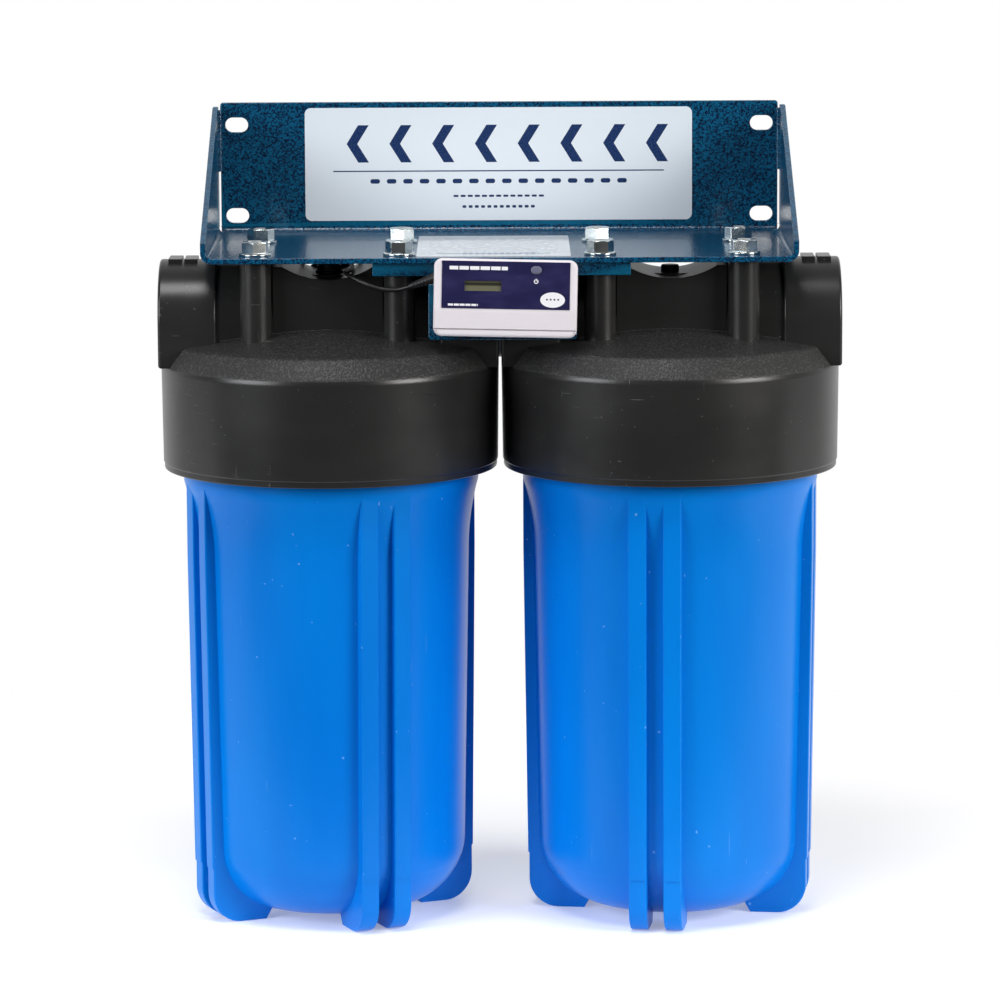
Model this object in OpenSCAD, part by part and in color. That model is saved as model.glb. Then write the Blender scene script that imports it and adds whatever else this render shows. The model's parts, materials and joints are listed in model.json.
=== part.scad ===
// Twin-canister water purifier unit: two ribbed filter housings under a folded wall bracket.
// Millimetres, +Z up. The origin is on the floor, midway between the housings and
// midway from the caps' front to the wall. +X is the inlet side, -Y is the front.

/* [Housings] */
// Distance between the centre lines of the two housings
housing_spacing = 185.4; // [185:0.1:188]
// Outside diameter of each cap's skirt
cap_d = 184; // [183:0.5:184.5]
// Height of the caps' lower rim above the floor
cap_rim_z = 247.2; // [246:0.2:248]
// Turn of the left sump's ribs from straight ahead, in degrees
left_rib_turn = 23.4; // [-45:0.1:45]
// Turn of the right sump's ribs from straight ahead, in degrees
right_rib_turn = -7.9; // [-45:0.1:45]
// Width of each rib on a sump
rib_w = 9.8; // [7:0.1:12]
// Distance between the two ribs of a pair, centre to centre
rib_pitch = 18.8; // [16:0.1:22]

/* [Ports] */
// Height of the ports' centre line above the floor
port_z = 328.5; // [328:0.1:329]
// Radius of the threaded port bores, for 1-1/2 inch pipe
port_bore_r = 22.2; // [20:0.1:24]
// Depth of the threaded port bores
port_bore_depth = 26; // [24:1:28]

/* [Bracket] */
// Height of the shelf's top face above the floor
shelf_z = 365.6; // [365:0.1:366]
// Thickness of the bracket's steel sheet
sheet_t = 3; // [2.5:0.1:3.2]
// Distance from the housings' centre lines to the wall
wall_y = 101.1; // [100:0.1:104]
// Height of the back plate's top edge above the floor
plate_top_z = 438.1; // [436:0.1:445]
// Width of the back plate
plate_w = 312.8; // [310:0.2:314]
// Sideways distance between the wall slots
slot_span_x = 294.4; // [290:0.2:296]
// Upright distance between the wall slots
slot_span_z = 51; // [48:0.2:52]
// Width of the wall slots, for 8 mm screws
slot_w = 8.25; // [6:0.05:9]
// Length of the wall slots, end to end
slot_l = 12.75; // [10:0.05:14]

/* [Monitor] */
// Width of the water monitor's case
case_w = 76.4; // [74:0.1:78]
// Height of the water monitor's case
case_h = 41.4; // [41:0.1:43]
// Depth of the water monitor's case
case_d = 20; // [19.5:0.1:21]
// Turn of the stuck-on case, right side down, in degrees
case_turn = 1.3; // [0:0.1:2]
// Lean of the display towards someone standing, in degrees
case_lean = 7; // [5:0.5:8]

/* [Filters] */
// Outside diameter of the filter cartridges
cartridge_d = 114.3; // [110:0.1:116]
// Length of the filter cartridges with their gaskets
cartridge_l = 246; // [244:0.1:247]

/* [Hidden] */
$fn = 96;
housing_y = (cap_d / 2 - wall_y) / 2;
cap_r = cap_d / 2;
left = -1;
right = 1;

// Cap
skirt_top_z = cap_rim_z + 56.8;
shoulder_z = skirt_top_z + 11.2;
shoulder_r = cap_r - 8;
shoulder_slope = 0.167;
rim_lip_h = 3.4;
cap_bore_r = 82;
seal_r = 70;
ceiling_z = cap_rim_z + 53.8;
dome_z = ceiling_z + 8;
block_half = 30;
block_top_z = port_z + 30.5;
notch_r = 46;
notch_z = port_z + 69.5;
turret_r = 15.5;
turret_z = notch_z - notch_r + 1;
collar_r = 32;
collar_l = 31.7;
neck_r = 29.9;
waterway_r = 15;
waterway_in_x = 48;
waterway_in_r = 11;
nipple_r = 24;
centre_bore_r = 13;
mark_l = [7.4, 7];
mark_x = [4.9, 13.6];
mark_w = 20;
mark_h = 1;

// Posts and the bolts in them
post_x = 38.7;
post_y = 34.5;
post_r = 8.4;
post_root_z = port_z - 16;
shelf_under_z = shelf_z - sheet_t;
flange_t = 2;
bolt_r = 4;
bolt_hole_r = 4.6;
bolt_socket_r = 4.05;
bolt_grip = 22;
bolt_flange_r = 8.9;
bolt_flange_t = 1.7;
bolt_hex_af = 13;
bolt_head_h = 8;

// Sump
sump_top_z = ceiling_z - 1;
neck_outer_r = 79;
neck_inner_r = 70.4;
shoulder_stop_z = cap_rim_z + 1.8;
body_top_r = 80.5;
body_mid_r = 75;
body_low_r = 72;
flare_low_z = 200;
flare_h = 40;
dome_bottom_z = 4.5;
corner_r = 37;
wall_t = 4.5;
foot_z = 0;
foot_in_r = 46;
foot_out_r = 62;
foot_corner_r = 16;
rib_low_r = 78;
rib_top_z = cap_rim_z - 1.2;
floor_z = 9.5;
seat_z = 15.9;
seat_r = [20, 24];
spigot_r = 13;
spigot_h = 14;

// Seal ring between sump and cap
o_ring_r = 2.45;
o_ring_mid_r = 75.25;
o_ring_gap = 0.2;
groove_depth = 4.25;
o_ring_z = sump_top_z - groove_depth + 0.1 + o_ring_r;

// Cartridge
cartridge_z = seat_z + 0.1;
cartridge_top_z = cartridge_z + cartridge_l;
cartridge_r = cartridge_d / 2;
gasket_t = 3;
gasket_r = 26;
core_r = [14.3, 17];
end_cap_t = 8;
end_cap_lip = 12;
sleeve_t = 2.4;

// Bracket
bend_in_r = 3;
bend_out_r = bend_in_r + sheet_t;
shelf_front_y = -49.2;
gusset_x = 160.2;
gusset_nose_z = shelf_z + 8.4;
gusset_top_z = plate_top_z - 2;
gusset_top_y = wall_y - 12.5;
gusset_back_y = wall_y - sheet_t - 1.4;
slot_z = plate_top_z - 38;
plate_corner_r = 1.6;
weld_z = [399.6, 434];
weld_r = 1.3;
bend_relief_r = 3.2;

// Monitor bracket
strip_x = [-68.2, 70.3];
strip_y = -46;
strip_low_z = shelf_under_z - 7;
flange_back_y = -25.5;
tongue_x = [-38.3, 41.2];
tongue_neck_x = [-29, 32];
tongue_top_z = shelf_under_z - 11.5;
tongue_low_z = 321.5;
tongue_r = 2;
tongue_pivot_z = tongue_top_z + 1.8;

// Monitor: its own frame has y = 0 on the tongue's face and -y towards the viewer
monitor_x = 3;
monitor_z = 343.4;
monitor_y = strip_y - (tongue_pivot_z - monitor_z) * tan(case_lean);
pad_t = 5;
pad_size = [56, 12];
pad_z = 0.5;
case_back_y = -pad_t;
case_front_y = case_back_y - case_d;
case_r = 4.5;
case_wall = 1.8;
split_y = case_back_y - 9;
split_z = -17;
chin_z = -6.6;
chin_angle = 8;
label_t = 0.3;
label_w = 68.1;
label_h = 25.2;
label_z = 6.8;
window = [19.4, 5.5];
window_x = -12.1;
window_z = label_z - 0.5;
display_size = [26, 11];
button_w = 6;
button_h = 4.4;
button_x = 16.1;
button_z = label_z + 8.3;
button_gap = 0.25;
button_front_y = case_front_y - label_t - 0.6;
button_travel = 0.8;
switch_t = 2.6;
switch_size = [6, 4.5];
board_y = case_back_y - 10;
board_t = 1.6;
board_size = [57.6, 31];
cell_r = 5.8;
cell_h = 5.4;
cell_x = [-9, 9];
cell_z = -12;
cover_w = 36;
cover_h = 14;
cover_t = 1.6;
screw_x = 32.6;
screw_z = 11;
screw_r = 1.45;

// Relief button on the right cap
relief_bore_r = 5;
relief_floor_z = turret_z - 6.4;
relief_vent_r = 2.6;
relief_pocket_r = 5.6;
relief_pocket_z = port_z + waterway_r + 0.5;
relief_r = 4.92;
relief_stem_r = 2;
relief_foot_z = turret_z - 2;
relief_cap_h = 3.5;
relief_seal_r = 4.2;
relief_seal_t = 1.4;
relief_disc_r = 3;
relief_disc_t = 1.6;
relief_pin_z = relief_pocket_z - relief_seal_t - relief_disc_t - 0.1;
waterway_roof_z = port_z + waterway_r;
spring_r = 3.4;
spring_wire_r = 0.3;
spring_turns = 2.5;
spring_steps = 16;

// Water probe in the left cap
probe_hole_r = 5;
probe_thread_r = 4.9;
probe_seal_t = 1;
probe_head_r = 6.5;
probe_head_h = 5.4;
probe_barrel_r = 3.6;
probe_tip_z = 321;
pin_r = 0.8;
pin_l = 7;
pin_gap = 2.4;

// Sensor cable, in the frame of the housings' centre lines
cable_r = 1.2;
cable_sides = 8;
cable_step = 3;
sleeve_from = [-35, -59.6, 355.9];
sleeve_to = [-48, -52, 350.6];
lead_route = [
    [-48.2, -51.9, 350.5], [-55, -48.8, 348.6], [-63, -47, 348.7], [-71, -45.5, 351],
    [-78, -41.5, 354], [-82.5, -35, 355.9], [-83, -27, 356], [-81.5, -16, 355.4],
    [-80.5, -4, 355.2], [-80.5, 8, 355.2], [-80.8, 17, 355.8], [-79.6, 25, 356.6],
    [-77.4, 33, 355.9], [-75.6, 39, 351.8], [-75.3, 42.4, 346.8], [-76.5, 42.5, 342.7]
];
tail_route = [
    [-105.3, 42.4, 342.6], [-107.6, 43.2, 347.5], [-108.6, 41.5, 352.5], [-107.8, 36, 356],
    [-105.5, 30, 357.4], [-101.5, 24, 357.6], [-96.8, 17.5, 357.4], [-93.4, 12, 356.9],
    [-92.7, 6.75, 356.7]
];
coil_mid_r = 14;
coil_at = [-92.7, 33.6, 341.1];
coil_tilt = -80;
coil_w = 7.6;
coil_h = 7.4;
tie_w = 2.6;
tie_t = 0.9;

function arc(cx, cy, r, from, to, steps) =
    [for (i = [0:steps]) let (a = from + (to - from) * i / steps) [cx + r * cos(a), cy + r * sin(a)]];

// A smooth curve through the points of a route, a few steps to each stretch
function pick(p, i) = p[max(0, min(len(p) - 1, i))];
function between(a, b, c, d, t) =
    0.5 * (2 * b + (c - a) * t + (2 * a - 5 * b + 4 * c - d) * t * t + (3 * b - a - 3 * c + d) * t * t * t);
function smooth(p, steps) = [
    for (i = [0:len(p) - 2], k = [0:steps - 1])
        between(pick(p, i - 1), p[i], p[i + 1], pick(p, i + 2), k / steps),
    p[len(p) - 1]
];

function unit(v) = v / norm(v);
function tangent(p, i) = unit(pick(p, i + 1) - pick(p, i - 1));
function square_to(v, hint) = unit(hint - v * (hint * v));
function ring_at(p, i, r, sides, hint) =
    let (t = tangent(p, i), n = square_to(t, hint), b = cross(t, n))
    [for (k = [0:sides - 1]) p[i] + r * (cos(360 * k / sides) * n + sin(360 * k / sides) * b)];

// A closed tube of one radius along a path; the hint is never along the path
module tube_along(path, r, sides, hint) {
    rings = [for (i = [0:len(path) - 1]) each ring_at(path, i, r, sides, hint)];
    last = (len(path) - 1) * sides;
    walls = [
        for (i = [0:len(path) - 2], k = [0:sides - 1])
            let (a = i * sides + k, b = i * sides + (k + 1) % sides)
            each [[a, b, b + sides], [a, b + sides, a + sides]]
    ];
    ends = [[for (k = [sides - 1:-1:0]) k], [for (k = [0:sides - 1]) last + k]];
    polyhedron(rings, concat(walls, ends), convexity = 10);
}

// Placing
module on_centre_lines() {
    translate([0, housing_y, 0]) children();
}

module at_housing(side) {
    translate([side * housing_spacing / 2, housing_y, 0]) children();
}

module on_monitor() {
    on_centre_lines() translate([monitor_x, monitor_y, monitor_z]) rotate([-case_lean, 0, 0])
        rotate([0, case_turn, 0]) children();
}

module rounded_rect(w, h, r) {
    square([w - 2 * r, h], center = true);
    square([w, h - 2 * r], center = true);
    for (x = [-1, 1], y = [-1, 1]) translate([x * (w / 2 - r), y * (h / 2 - r)]) circle(r = r);
}

// A flat shape in x and z, given depth from y0 back to y1
module slab(y0, y1) {
    translate([0, y1, 0]) rotate([90, 0, 0]) linear_extrude(y1 - y0) children();
}

module ring(r_out, r_in, z0, z1) {
    difference() {
        translate([0, 0, z0]) cylinder(r = r_out, h = z1 - z0);
        translate([0, 0, z0 - 1]) cylinder(r = r_in, h = z1 - z0 + 2);
    }
}

module rod_x(r, x0, x1, z) {
    translate([x0, 0, z]) rotate([0, 90, 0]) cylinder(r = r, h = x1 - x0);
}

// Cap
module cap_shell() {
    rotate_extrude() polygon([
        [0, cap_rim_z], [cap_r - 1.9, cap_rim_z], [cap_r - 1.1, cap_rim_z + 0.8],
        [cap_r - 1.1, cap_rim_z + rim_lip_h], [cap_r - 0.7, cap_rim_z + rim_lip_h + 0.5],
        [cap_r, skirt_top_z], [shoulder_r, shoulder_z], [0, shoulder_z + shoulder_r * shoulder_slope]
    ]);
}

module cap_block() {
    difference() {
        translate([-block_half, -block_half, ceiling_z + 8])
            cube([2 * block_half, 2 * block_half, block_top_z - ceiling_z - 8]);
        translate([0, -block_half - 1, notch_z]) rotate([-90, 0, 0])
            cylinder(r = notch_r, h = 2 * block_half + 2);
    }
    translate([0, 0, port_z]) cylinder(r = turret_r, h = turret_z - port_z);
}

// A round-topped boss along x whose sides run straight down to the shoulder
module boss_x(r, x0, x1) {
    rod_x(r, x0, x1, port_z);
    translate([x0, -r, skirt_top_z + 0.5]) cube([x1 - x0, 2 * r, port_z - skirt_top_z - 0.5]);
}

module cap_ports() {
    boss_x(neck_r, -cap_r + 2, 1 - block_half);
    boss_x(neck_r, block_half - 1, cap_r - 2);
    boss_x(collar_r, -cap_r, -cap_r + collar_l);
    boss_x(collar_r, cap_r - collar_l, cap_r);
    for (side = [-1, 1], i = [0, 1])
        translate([side * (cap_r - mark_x[i]) - (side > 0 ? mark_l[i] : 0), -mark_w / 2,
            port_z + collar_r - 2])
            cube([mark_l[i], mark_w, mark_h + 2]);
}

module cap_posts(side) {
    for (x = [-1, 1], y = [-1, 1]) {
        low = x == -side && y == -1 ? flange_t : 0;
        translate([x * post_x, y * post_y, post_root_z])
            cylinder(r = post_r, h = shelf_under_z - low - post_root_z);
    }
}

module post_sockets() {
    for (x = [-1, 1], y = [-1, 1]) translate([x * post_x, y * post_y, shelf_under_z - bolt_grip - 1])
        cylinder(r = bolt_socket_r, h = bolt_grip + 2);
}

module cap_cavity() {
    rotate_extrude() polygon([
        [0, cap_rim_z - 1], [cap_bore_r, cap_rim_z - 1], [cap_bore_r, ceiling_z], [seal_r, ceiling_z],
        [seal_r - 6, dome_z], [0, dome_z]
    ]);
}

module cap_waterways() {
    rod_x(port_bore_r, cap_r - port_bore_depth, cap_r + 1, port_z);
    rod_x(waterway_r, waterway_in_x, cap_r, port_z);
    translate([waterway_in_x, 0, dome_z - 1]) cylinder(r = waterway_in_r, h = port_z - dome_z + 1);
    rod_x(port_bore_r, -cap_r - 1, -cap_r + port_bore_depth, port_z);
    rod_x(waterway_r, -cap_r, 0, port_z);
    translate([0, 0, cartridge_top_z]) cylinder(r = centre_bore_r, h = port_z - cartridge_top_z);
}

module cap(side, vent_r) {
    difference() {
        union() {
            difference() {
                union() {
                    cap_shell();
                    cap_block();
                    cap_ports();
                    cap_posts(side);
                }
                cap_cavity();
            }
            translate([0, 0, cartridge_top_z + 0.1])
                cylinder(r = nipple_r, h = dome_z + 2 - cartridge_top_z);
        }
        cap_waterways();
        post_sockets();
        translate([0, 0, port_z]) cylinder(r = vent_r, h = turret_z);
        if (side == right) {
            translate([0, 0, relief_floor_z]) cylinder(r = relief_bore_r, h = 20);
            translate([0, 0, port_z]) cylinder(r = relief_pocket_r, h = relief_pocket_z - port_z);
        }
    }
}

module left_cap() {
    color("#1d1d1f") at_housing(left) cap(left, probe_hole_r);
}

module right_cap() {
    color("#1d1d1f") at_housing(right) cap(right, relief_vent_r);
}

module joining_nipple() {
    half_l = housing_spacing / 2 - cap_r + port_bore_depth - 1;
    color("#151517") on_centre_lines() difference() {
        rod_x(port_bore_r - 0.05, -half_l, half_l, port_z);
        rod_x(port_bore_r - 4.5, -half_l - 1, half_l + 1, port_z);
    }
}

// Sump
module sump_outside() {
    flare_r = (flare_h * flare_h + pow(body_top_r - body_mid_r, 2)) / (2 * (body_top_r - body_mid_r));
    flare_end = asin(flare_h / flare_r);
    corner_x = body_low_r - corner_r;
    rotate_extrude() polygon(concat(
        [[0, dome_bottom_z]],
        arc(corner_x, dome_bottom_z + corner_r, corner_r, -90, 0, 8),
        arc(body_mid_r + flare_r, flare_low_z, flare_r, 180, 180 - flare_end, 5),
        [[body_top_r, shoulder_stop_z], [neck_outer_r, shoulder_stop_z], [neck_outer_r, sump_top_z - 1],
        [neck_outer_r - 1, sump_top_z], [0, sump_top_z]]
    ));
}

module sump_inside() {
    corner_x = body_low_r - corner_r;
    rotate_extrude() polygon(concat(
        [[0, floor_z]],
        arc(corner_x, dome_bottom_z + corner_r, corner_r - wall_t, -81, 0, 7),
        [[neck_inner_r, flare_low_z], [neck_inner_r, sump_top_z + 1], [0, sump_top_z + 1]]
    ));
}

module rib_envelope() {
    rotate_extrude() polygon(concat(
        [[30, dome_bottom_z + 3.5], [foot_in_r - 6, dome_bottom_z + 3.5], [foot_in_r, foot_z],
        [foot_out_r, foot_z]],
        arc(rib_low_r - foot_corner_r, foot_z + foot_corner_r, foot_corner_r, -84, 0, 6),
        [[body_top_r, rib_top_z - 20], [body_top_r, rib_top_z], [30, rib_top_z]]
    ));
}

module rib_plates() {
    for (turn = [0:90:270], s = [-0.5, 0.5])
        rotate([0, 0, turn - 90]) translate([30, s * rib_pitch - rib_w / 2, -1])
            cube([60, rib_w, rib_top_z + 2]);
}

module sump(turn) {
    difference() {
        union() {
            sump_outside();
            intersection() {
                rib_envelope();
                rotate([0, 0, turn]) rib_plates();
            }
        }
        sump_inside();
        ring(o_ring_mid_r + o_ring_r + o_ring_gap, o_ring_mid_r - o_ring_r - o_ring_gap,
            sump_top_z - groove_depth, sump_top_z + 1);
    }
    ring(seat_r[1], seat_r[0], floor_z - 1, seat_z);
    translate([0, 0, floor_z - 1]) cylinder(r = spigot_r, h = spigot_h + 1);
}

module left_sump() {
    color("#0a78e0") at_housing(left) sump(left_rib_turn);
}

module right_sump() {
    color("#0a78e0") at_housing(right) sump(right_rib_turn);
}

module o_ring(side) {
    color("#101010") at_housing(side) translate([0, 0, o_ring_z]) rotate_extrude()
        translate([o_ring_mid_r, 0]) circle(r = o_ring_r, $fn = 32);
}

module left_o_ring() {
    o_ring(left);
}

module right_o_ring() {
    o_ring(right);
}

// Cartridge
module cartridge_sleeve(side) {
    color("#f2f2ee") at_housing(side) ring(cartridge_r - sleeve_t, cartridge_r - 2 * sleeve_t,
        cartridge_z + gasket_t + end_cap_t, cartridge_top_z - gasket_t - end_cap_t);
}

module cartridge_media(side) {
    color("#b98a4a") at_housing(side) ring(cartridge_r - 2 * sleeve_t - 0.1, core_r[1] + 0.1,
        cartridge_z + gasket_t + end_cap_t, cartridge_top_z - gasket_t - end_cap_t);
}

module cartridge_core(side) {
    color("#e6e6e0") at_housing(side) ring(core_r[1], core_r[0],
        cartridge_z + gasket_t + end_cap_t, cartridge_top_z - gasket_t - end_cap_t);
}

// The bottom cap's disc and the lip that holds the sleeve
module cartridge_cap() {
    ring(cartridge_r, core_r[0], 0, end_cap_t);
    ring(cartridge_r, cartridge_r - sleeve_t + 0.05, 0, end_cap_t + end_cap_lip);
}

module cartridge_bottom_cap(side) {
    color("#2a4fa0") at_housing(side) translate([0, 0, cartridge_z + gasket_t]) cartridge_cap();
}

module cartridge_top_cap(side) {
    color("#2a4fa0") at_housing(side) translate([0, 0, cartridge_top_z - gasket_t]) mirror([0, 0, 1])
        cartridge_cap();
}

module cartridge_gaskets(side) {
    color("#f7f7f7") at_housing(side) for (z = [cartridge_z, cartridge_top_z - gasket_t])
        ring(gasket_r, core_r[0], z, z + gasket_t);
}

module left_cartridge_sleeve() {
    cartridge_sleeve(left);
}

module left_cartridge_media() {
    cartridge_media(left);
}

module left_cartridge_core() {
    cartridge_core(left);
}

module left_cartridge_top_cap() {
    cartridge_top_cap(left);
}

module left_cartridge_bottom_cap() {
    cartridge_bottom_cap(left);
}

module left_cartridge_gaskets() {
    cartridge_gaskets(left);
}

module right_cartridge_sleeve() {
    cartridge_sleeve(right);
}

module right_cartridge_media() {
    cartridge_media(right);
}

module right_cartridge_core() {
    cartridge_core(right);
}

module right_cartridge_top_cap() {
    cartridge_top_cap(right);
}

module right_cartridge_bottom_cap() {
    cartridge_bottom_cap(right);
}

module right_cartridge_gaskets() {
    cartridge_gaskets(right);
}

// Bracket
module quarter_bend(r_out, r_in, l) {
    intersection() {
        difference() {
            cylinder(r = r_out, h = l);
            translate([0, 0, -1]) cylinder(r = r_in, h = l + 2);
        }
        translate([0, 0, -1]) cube([r_out + 1, r_out + 1, l + 2]);
    }
}

module gusset() {
    low_z = shelf_under_z + bend_out_r;
    translate([gusset_x - sheet_t, 0, 0]) rotate([90, 0, 90]) linear_extrude(sheet_t) polygon([
        [shelf_front_y, low_z], [gusset_back_y, low_z], [gusset_back_y, gusset_top_z],
        [gusset_top_y, gusset_top_z], [shelf_front_y, gusset_nose_z]
    ]);
    translate([gusset_x - bend_out_r, gusset_back_y, low_z]) rotate([90, 90, 0])
        quarter_bend(bend_out_r, bend_in_r, gusset_back_y - shelf_front_y);
    translate([plate_w / 2 + 0.4, wall_y - sheet_t - 0.6, weld_z[0]])
        cylinder(r = weld_r, h = weld_z[1] - weld_z[0]);
}

module back_plate() {
    low_z = shelf_under_z + bend_out_r;
    corner = [plate_w / 2 - plate_corner_r, plate_top_z - plate_corner_r];
    translate([0, wall_y, 0]) rotate([90, 0, 0]) linear_extrude(sheet_t) polygon(concat(
        [[-plate_w / 2, low_z], [plate_w / 2, low_z]],
        arc(corner[0], corner[1], plate_corner_r, 0, 90, 4),
        arc(-corner[0], corner[1], plate_corner_r, 90, 180, 4)
    ));
    translate([-plate_w / 2, wall_y - bend_out_r, low_z]) rotate([0, 90, 0])
        quarter_bend(bend_out_r, bend_in_r, plate_w);
}

module slot_at(x, z) {
    translate([x, wall_y + 1, z]) rotate([90, 0, 0]) linear_extrude(sheet_t + 2) {
        square([slot_l - slot_w, slot_w], center = true);
        for (s = [-0.5, 0.5]) translate([s * (slot_l - slot_w), 0]) circle(r = slot_w / 2);
    }
}

module wall_bracket() {
    color("#12607f") on_centre_lines() difference() {
        union() {
            translate([-gusset_x + bend_out_r, shelf_front_y, shelf_under_z])
                cube([2 * (gusset_x - bend_out_r), wall_y - bend_out_r - shelf_front_y, sheet_t]);
            gusset();
            mirror([1, 0, 0]) gusset();
            back_plate();
        }
        for (side = [-1, 1], x = [-1, 1], y = [-1, 1])
            translate([side * housing_spacing / 2 + x * post_x, y * post_y, shelf_under_z - 1])
                cylinder(r = bolt_hole_r, h = sheet_t + 2);
        for (x = [-0.5, 0.5], z = [-0.5, 0.5]) slot_at(x * slot_span_x, slot_z + z * slot_span_z);
        for (side = [-1, 1]) translate([side * (plate_w / 2 + 0.5), wall_y - bend_out_r, shelf_under_z - 1])
            cylinder(r = bend_relief_r, h = bend_out_r + 1);
    }
}

module cap_bolt() {
    translate([0, 0, shelf_z]) {
        cylinder(r = bolt_flange_r, h = bolt_flange_t);
        cylinder(r = bolt_hex_af / 2 / cos(30), h = bolt_head_h, $fn = 6);
        translate([0, 0, -sheet_t - bolt_grip]) cylinder(r = bolt_r, h = sheet_t + bolt_grip + 1);
    }
}

module cap_bolts() {
    color("#c9ced2") for (side = [-1, 1], x = [-1, 1], y = [-1, 1])
        at_housing(side) translate([x * post_x, y * post_y, 0])
            rotate([0, 0, 17 * x + 40 * y * side]) cap_bolt();
}

module back_label() {
    color("#eef1f4") on_centre_lines() translate([-0.35, 0, 403.15])
        slab(wall_y - sheet_t - 0.3, wall_y - sheet_t) rounded_rect(217.3, 63.5, 3.5);
}

module shelf_label() {
    color("#f4f5f6") on_centre_lines() translate([-3.3, 12.5, shelf_z]) linear_extrude(0.2)
        rounded_rect(83, 107, 2);
}

// Monitor bracket: one bent strip, trimmed to its outline
module bent_strip() {
    down = [-sin(case_lean), -cos(case_lean)] * (tongue_pivot_z - tongue_low_z) / cos(case_lean);
    back = [cos(case_lean), -sin(case_lean)] * flange_t;
    pivot = [strip_y, tongue_pivot_z];
    translate([strip_x[0] - 1, 0, 0]) rotate([90, 0, 90])
        linear_extrude(strip_x[1] - strip_x[0] + 2) polygon([
        [flange_back_y, shelf_under_z], [strip_y, shelf_under_z], pivot, pivot + down, pivot + down + back,
        [strip_y + flange_t, tongue_pivot_z - flange_t * tan(case_lean / 2)],
        [strip_y + flange_t, shelf_under_z - flange_t], [flange_back_y, shelf_under_z - flange_t]
    ]);
}

module rect(x, z) {
    translate([x[0], z[0]]) square([x[1] - x[0], z[1] - z[0]]);
}

module strip_outline() {
    rect(strip_x, [strip_low_z, shelf_under_z + 1]);
    rect(tongue_neck_x, [tongue_top_z - 1, strip_low_z + 1]);
    rect(tongue_x, [tongue_low_z + tongue_r, tongue_top_z]);
    rect([tongue_x[0] + tongue_r, tongue_x[1] - tongue_r], [tongue_low_z - 1, tongue_top_z - 1]);
    for (x = [tongue_x[0] + tongue_r, tongue_x[1] - tongue_r]) translate([x, tongue_low_z + tongue_r])
        circle(r = tongue_r);
}

module monitor_bracket() {
    color("#12607f") on_centre_lines() difference() {
        intersection() {
            bent_strip();
            slab(strip_y - 20, flange_back_y + 1) strip_outline();
        }
        for (x = [-1, 1]) translate([x * (housing_spacing / 2 - post_x), -post_y, shelf_under_z - 5])
            cylinder(r = bolt_hole_r, h = 6);
    }
}

module mounting_pad() {
    color("#202022") on_monitor() translate([0, 0, pad_z])
        slab(case_back_y, 0) rounded_rect(pad_size[0], pad_size[1], 2);
}

module case_solid() {
    difference() {
        slab(case_front_y, case_back_y) rounded_rect(case_w, case_h, case_r);
        translate([-case_w, case_front_y, chin_z]) rotate([chin_angle, 0, 0]) translate([0, -10, -30])
            cube([2 * case_w, 10, 30]);
    }
}

module case_hollow() {
    difference() {
        slab(case_front_y + case_wall, case_back_y - case_wall)
            rounded_rect(case_w - 2 * case_wall, case_h - 2 * case_wall, case_r - case_wall);
        translate([-case_w, case_front_y + case_wall, chin_z]) rotate([chin_angle, 0, 0])
            translate([0, -10, -30])
            cube([2 * case_w, 10, 30]);
        for (x = [-1, 1], z = [-1, 1]) translate([x * screw_x, 0, z * screw_z]) rotate([90, 0, 0])
            cylinder(r = 3.2, h = case_d + pad_t, $fn = 32);
    }
}

// The back shell's share of the case: all behind the split and the strip under the chin
module back_share() {
    translate([-case_w, split_y, -case_h]) cube([2 * case_w, case_d, 2 * case_h]);
    translate([-case_w, case_front_y - 1, -case_h]) cube([2 * case_w, case_d, case_h + split_z]);
}

module case_screw_holes(r) {
    for (x = [-1, 1], z = [-1, 1]) translate([x * screw_x, case_back_y + 1, z * screw_z])
        rotate([90, 0, 0]) {
        cylinder(r = r, h = 15, $fn = 24);
        cylinder(r = r + 1.2, h = 3, $fn = 24);
    }
}

module obround(w, h) {
    square([w - h, h], center = true);
    for (s = [-0.5, 0.5]) translate([s * (w - h), 0]) circle(r = h / 2, $fn = 32);
}

module monitor_front_shell() {
    color("#eceaf0") on_monitor() difference() {
        case_solid();
        case_hollow();
        back_share();
        case_screw_holes(screw_r);
        translate([window_x, 0, window_z]) slab(case_front_y - 1, case_front_y + 3)
            square(window, center = true);
        translate([button_x, 0, button_z]) slab(case_front_y - 1, case_front_y + 3)
            obround(button_w + 2 * button_gap, button_h + 2 * button_gap);
        sleeve_hole();
    }
}

module monitor_back_shell() {
    color("#eceaf0") on_monitor() difference() {
        intersection() {
            case_solid();
            back_share();
        }
        case_hollow();
        case_screw_holes(screw_r);
        translate([0, 0, cell_z]) slab(case_back_y - 3, case_back_y + 1)
            square([cover_w, cover_h], center = true);
        sleeve_hole();
    }
}

module monitor_label() {
    color("#2b2560") on_monitor() difference() {
        translate([0.1, 0, label_z]) slab(case_front_y - label_t, case_front_y)
            square([label_w, label_h], center = true);
        translate([window_x, 0, window_z]) slab(case_front_y - 1, case_front_y + 1)
            square(window, center = true);
        translate([button_x, 0, button_z]) slab(case_front_y - 1, case_front_y + 1)
            obround(button_w + 2 * button_gap, button_h + 2 * button_gap);
    }
}

module display_module() {
    color("#5a5f50") on_monitor() translate([window_x, 0, window_z]) {
        slab(case_front_y + 0.6, case_front_y + case_wall)
            square([window[0] - 0.1, window[1] - 0.1], center = true);
        slab(case_front_y + case_wall, case_front_y + case_wall + 2.6) square(display_size, center = true);
    }
}

module circuit_board() {
    color("#1f6b3a") on_monitor() slab(board_y - board_t, board_y) square(board_size, center = true);
}

module power_switch() {
    color("#2d2d30") on_monitor() translate([button_x, 0, button_z])
        slab(board_y - board_t - switch_t, board_y - board_t)
        square(switch_size, center = true);
}

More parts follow.
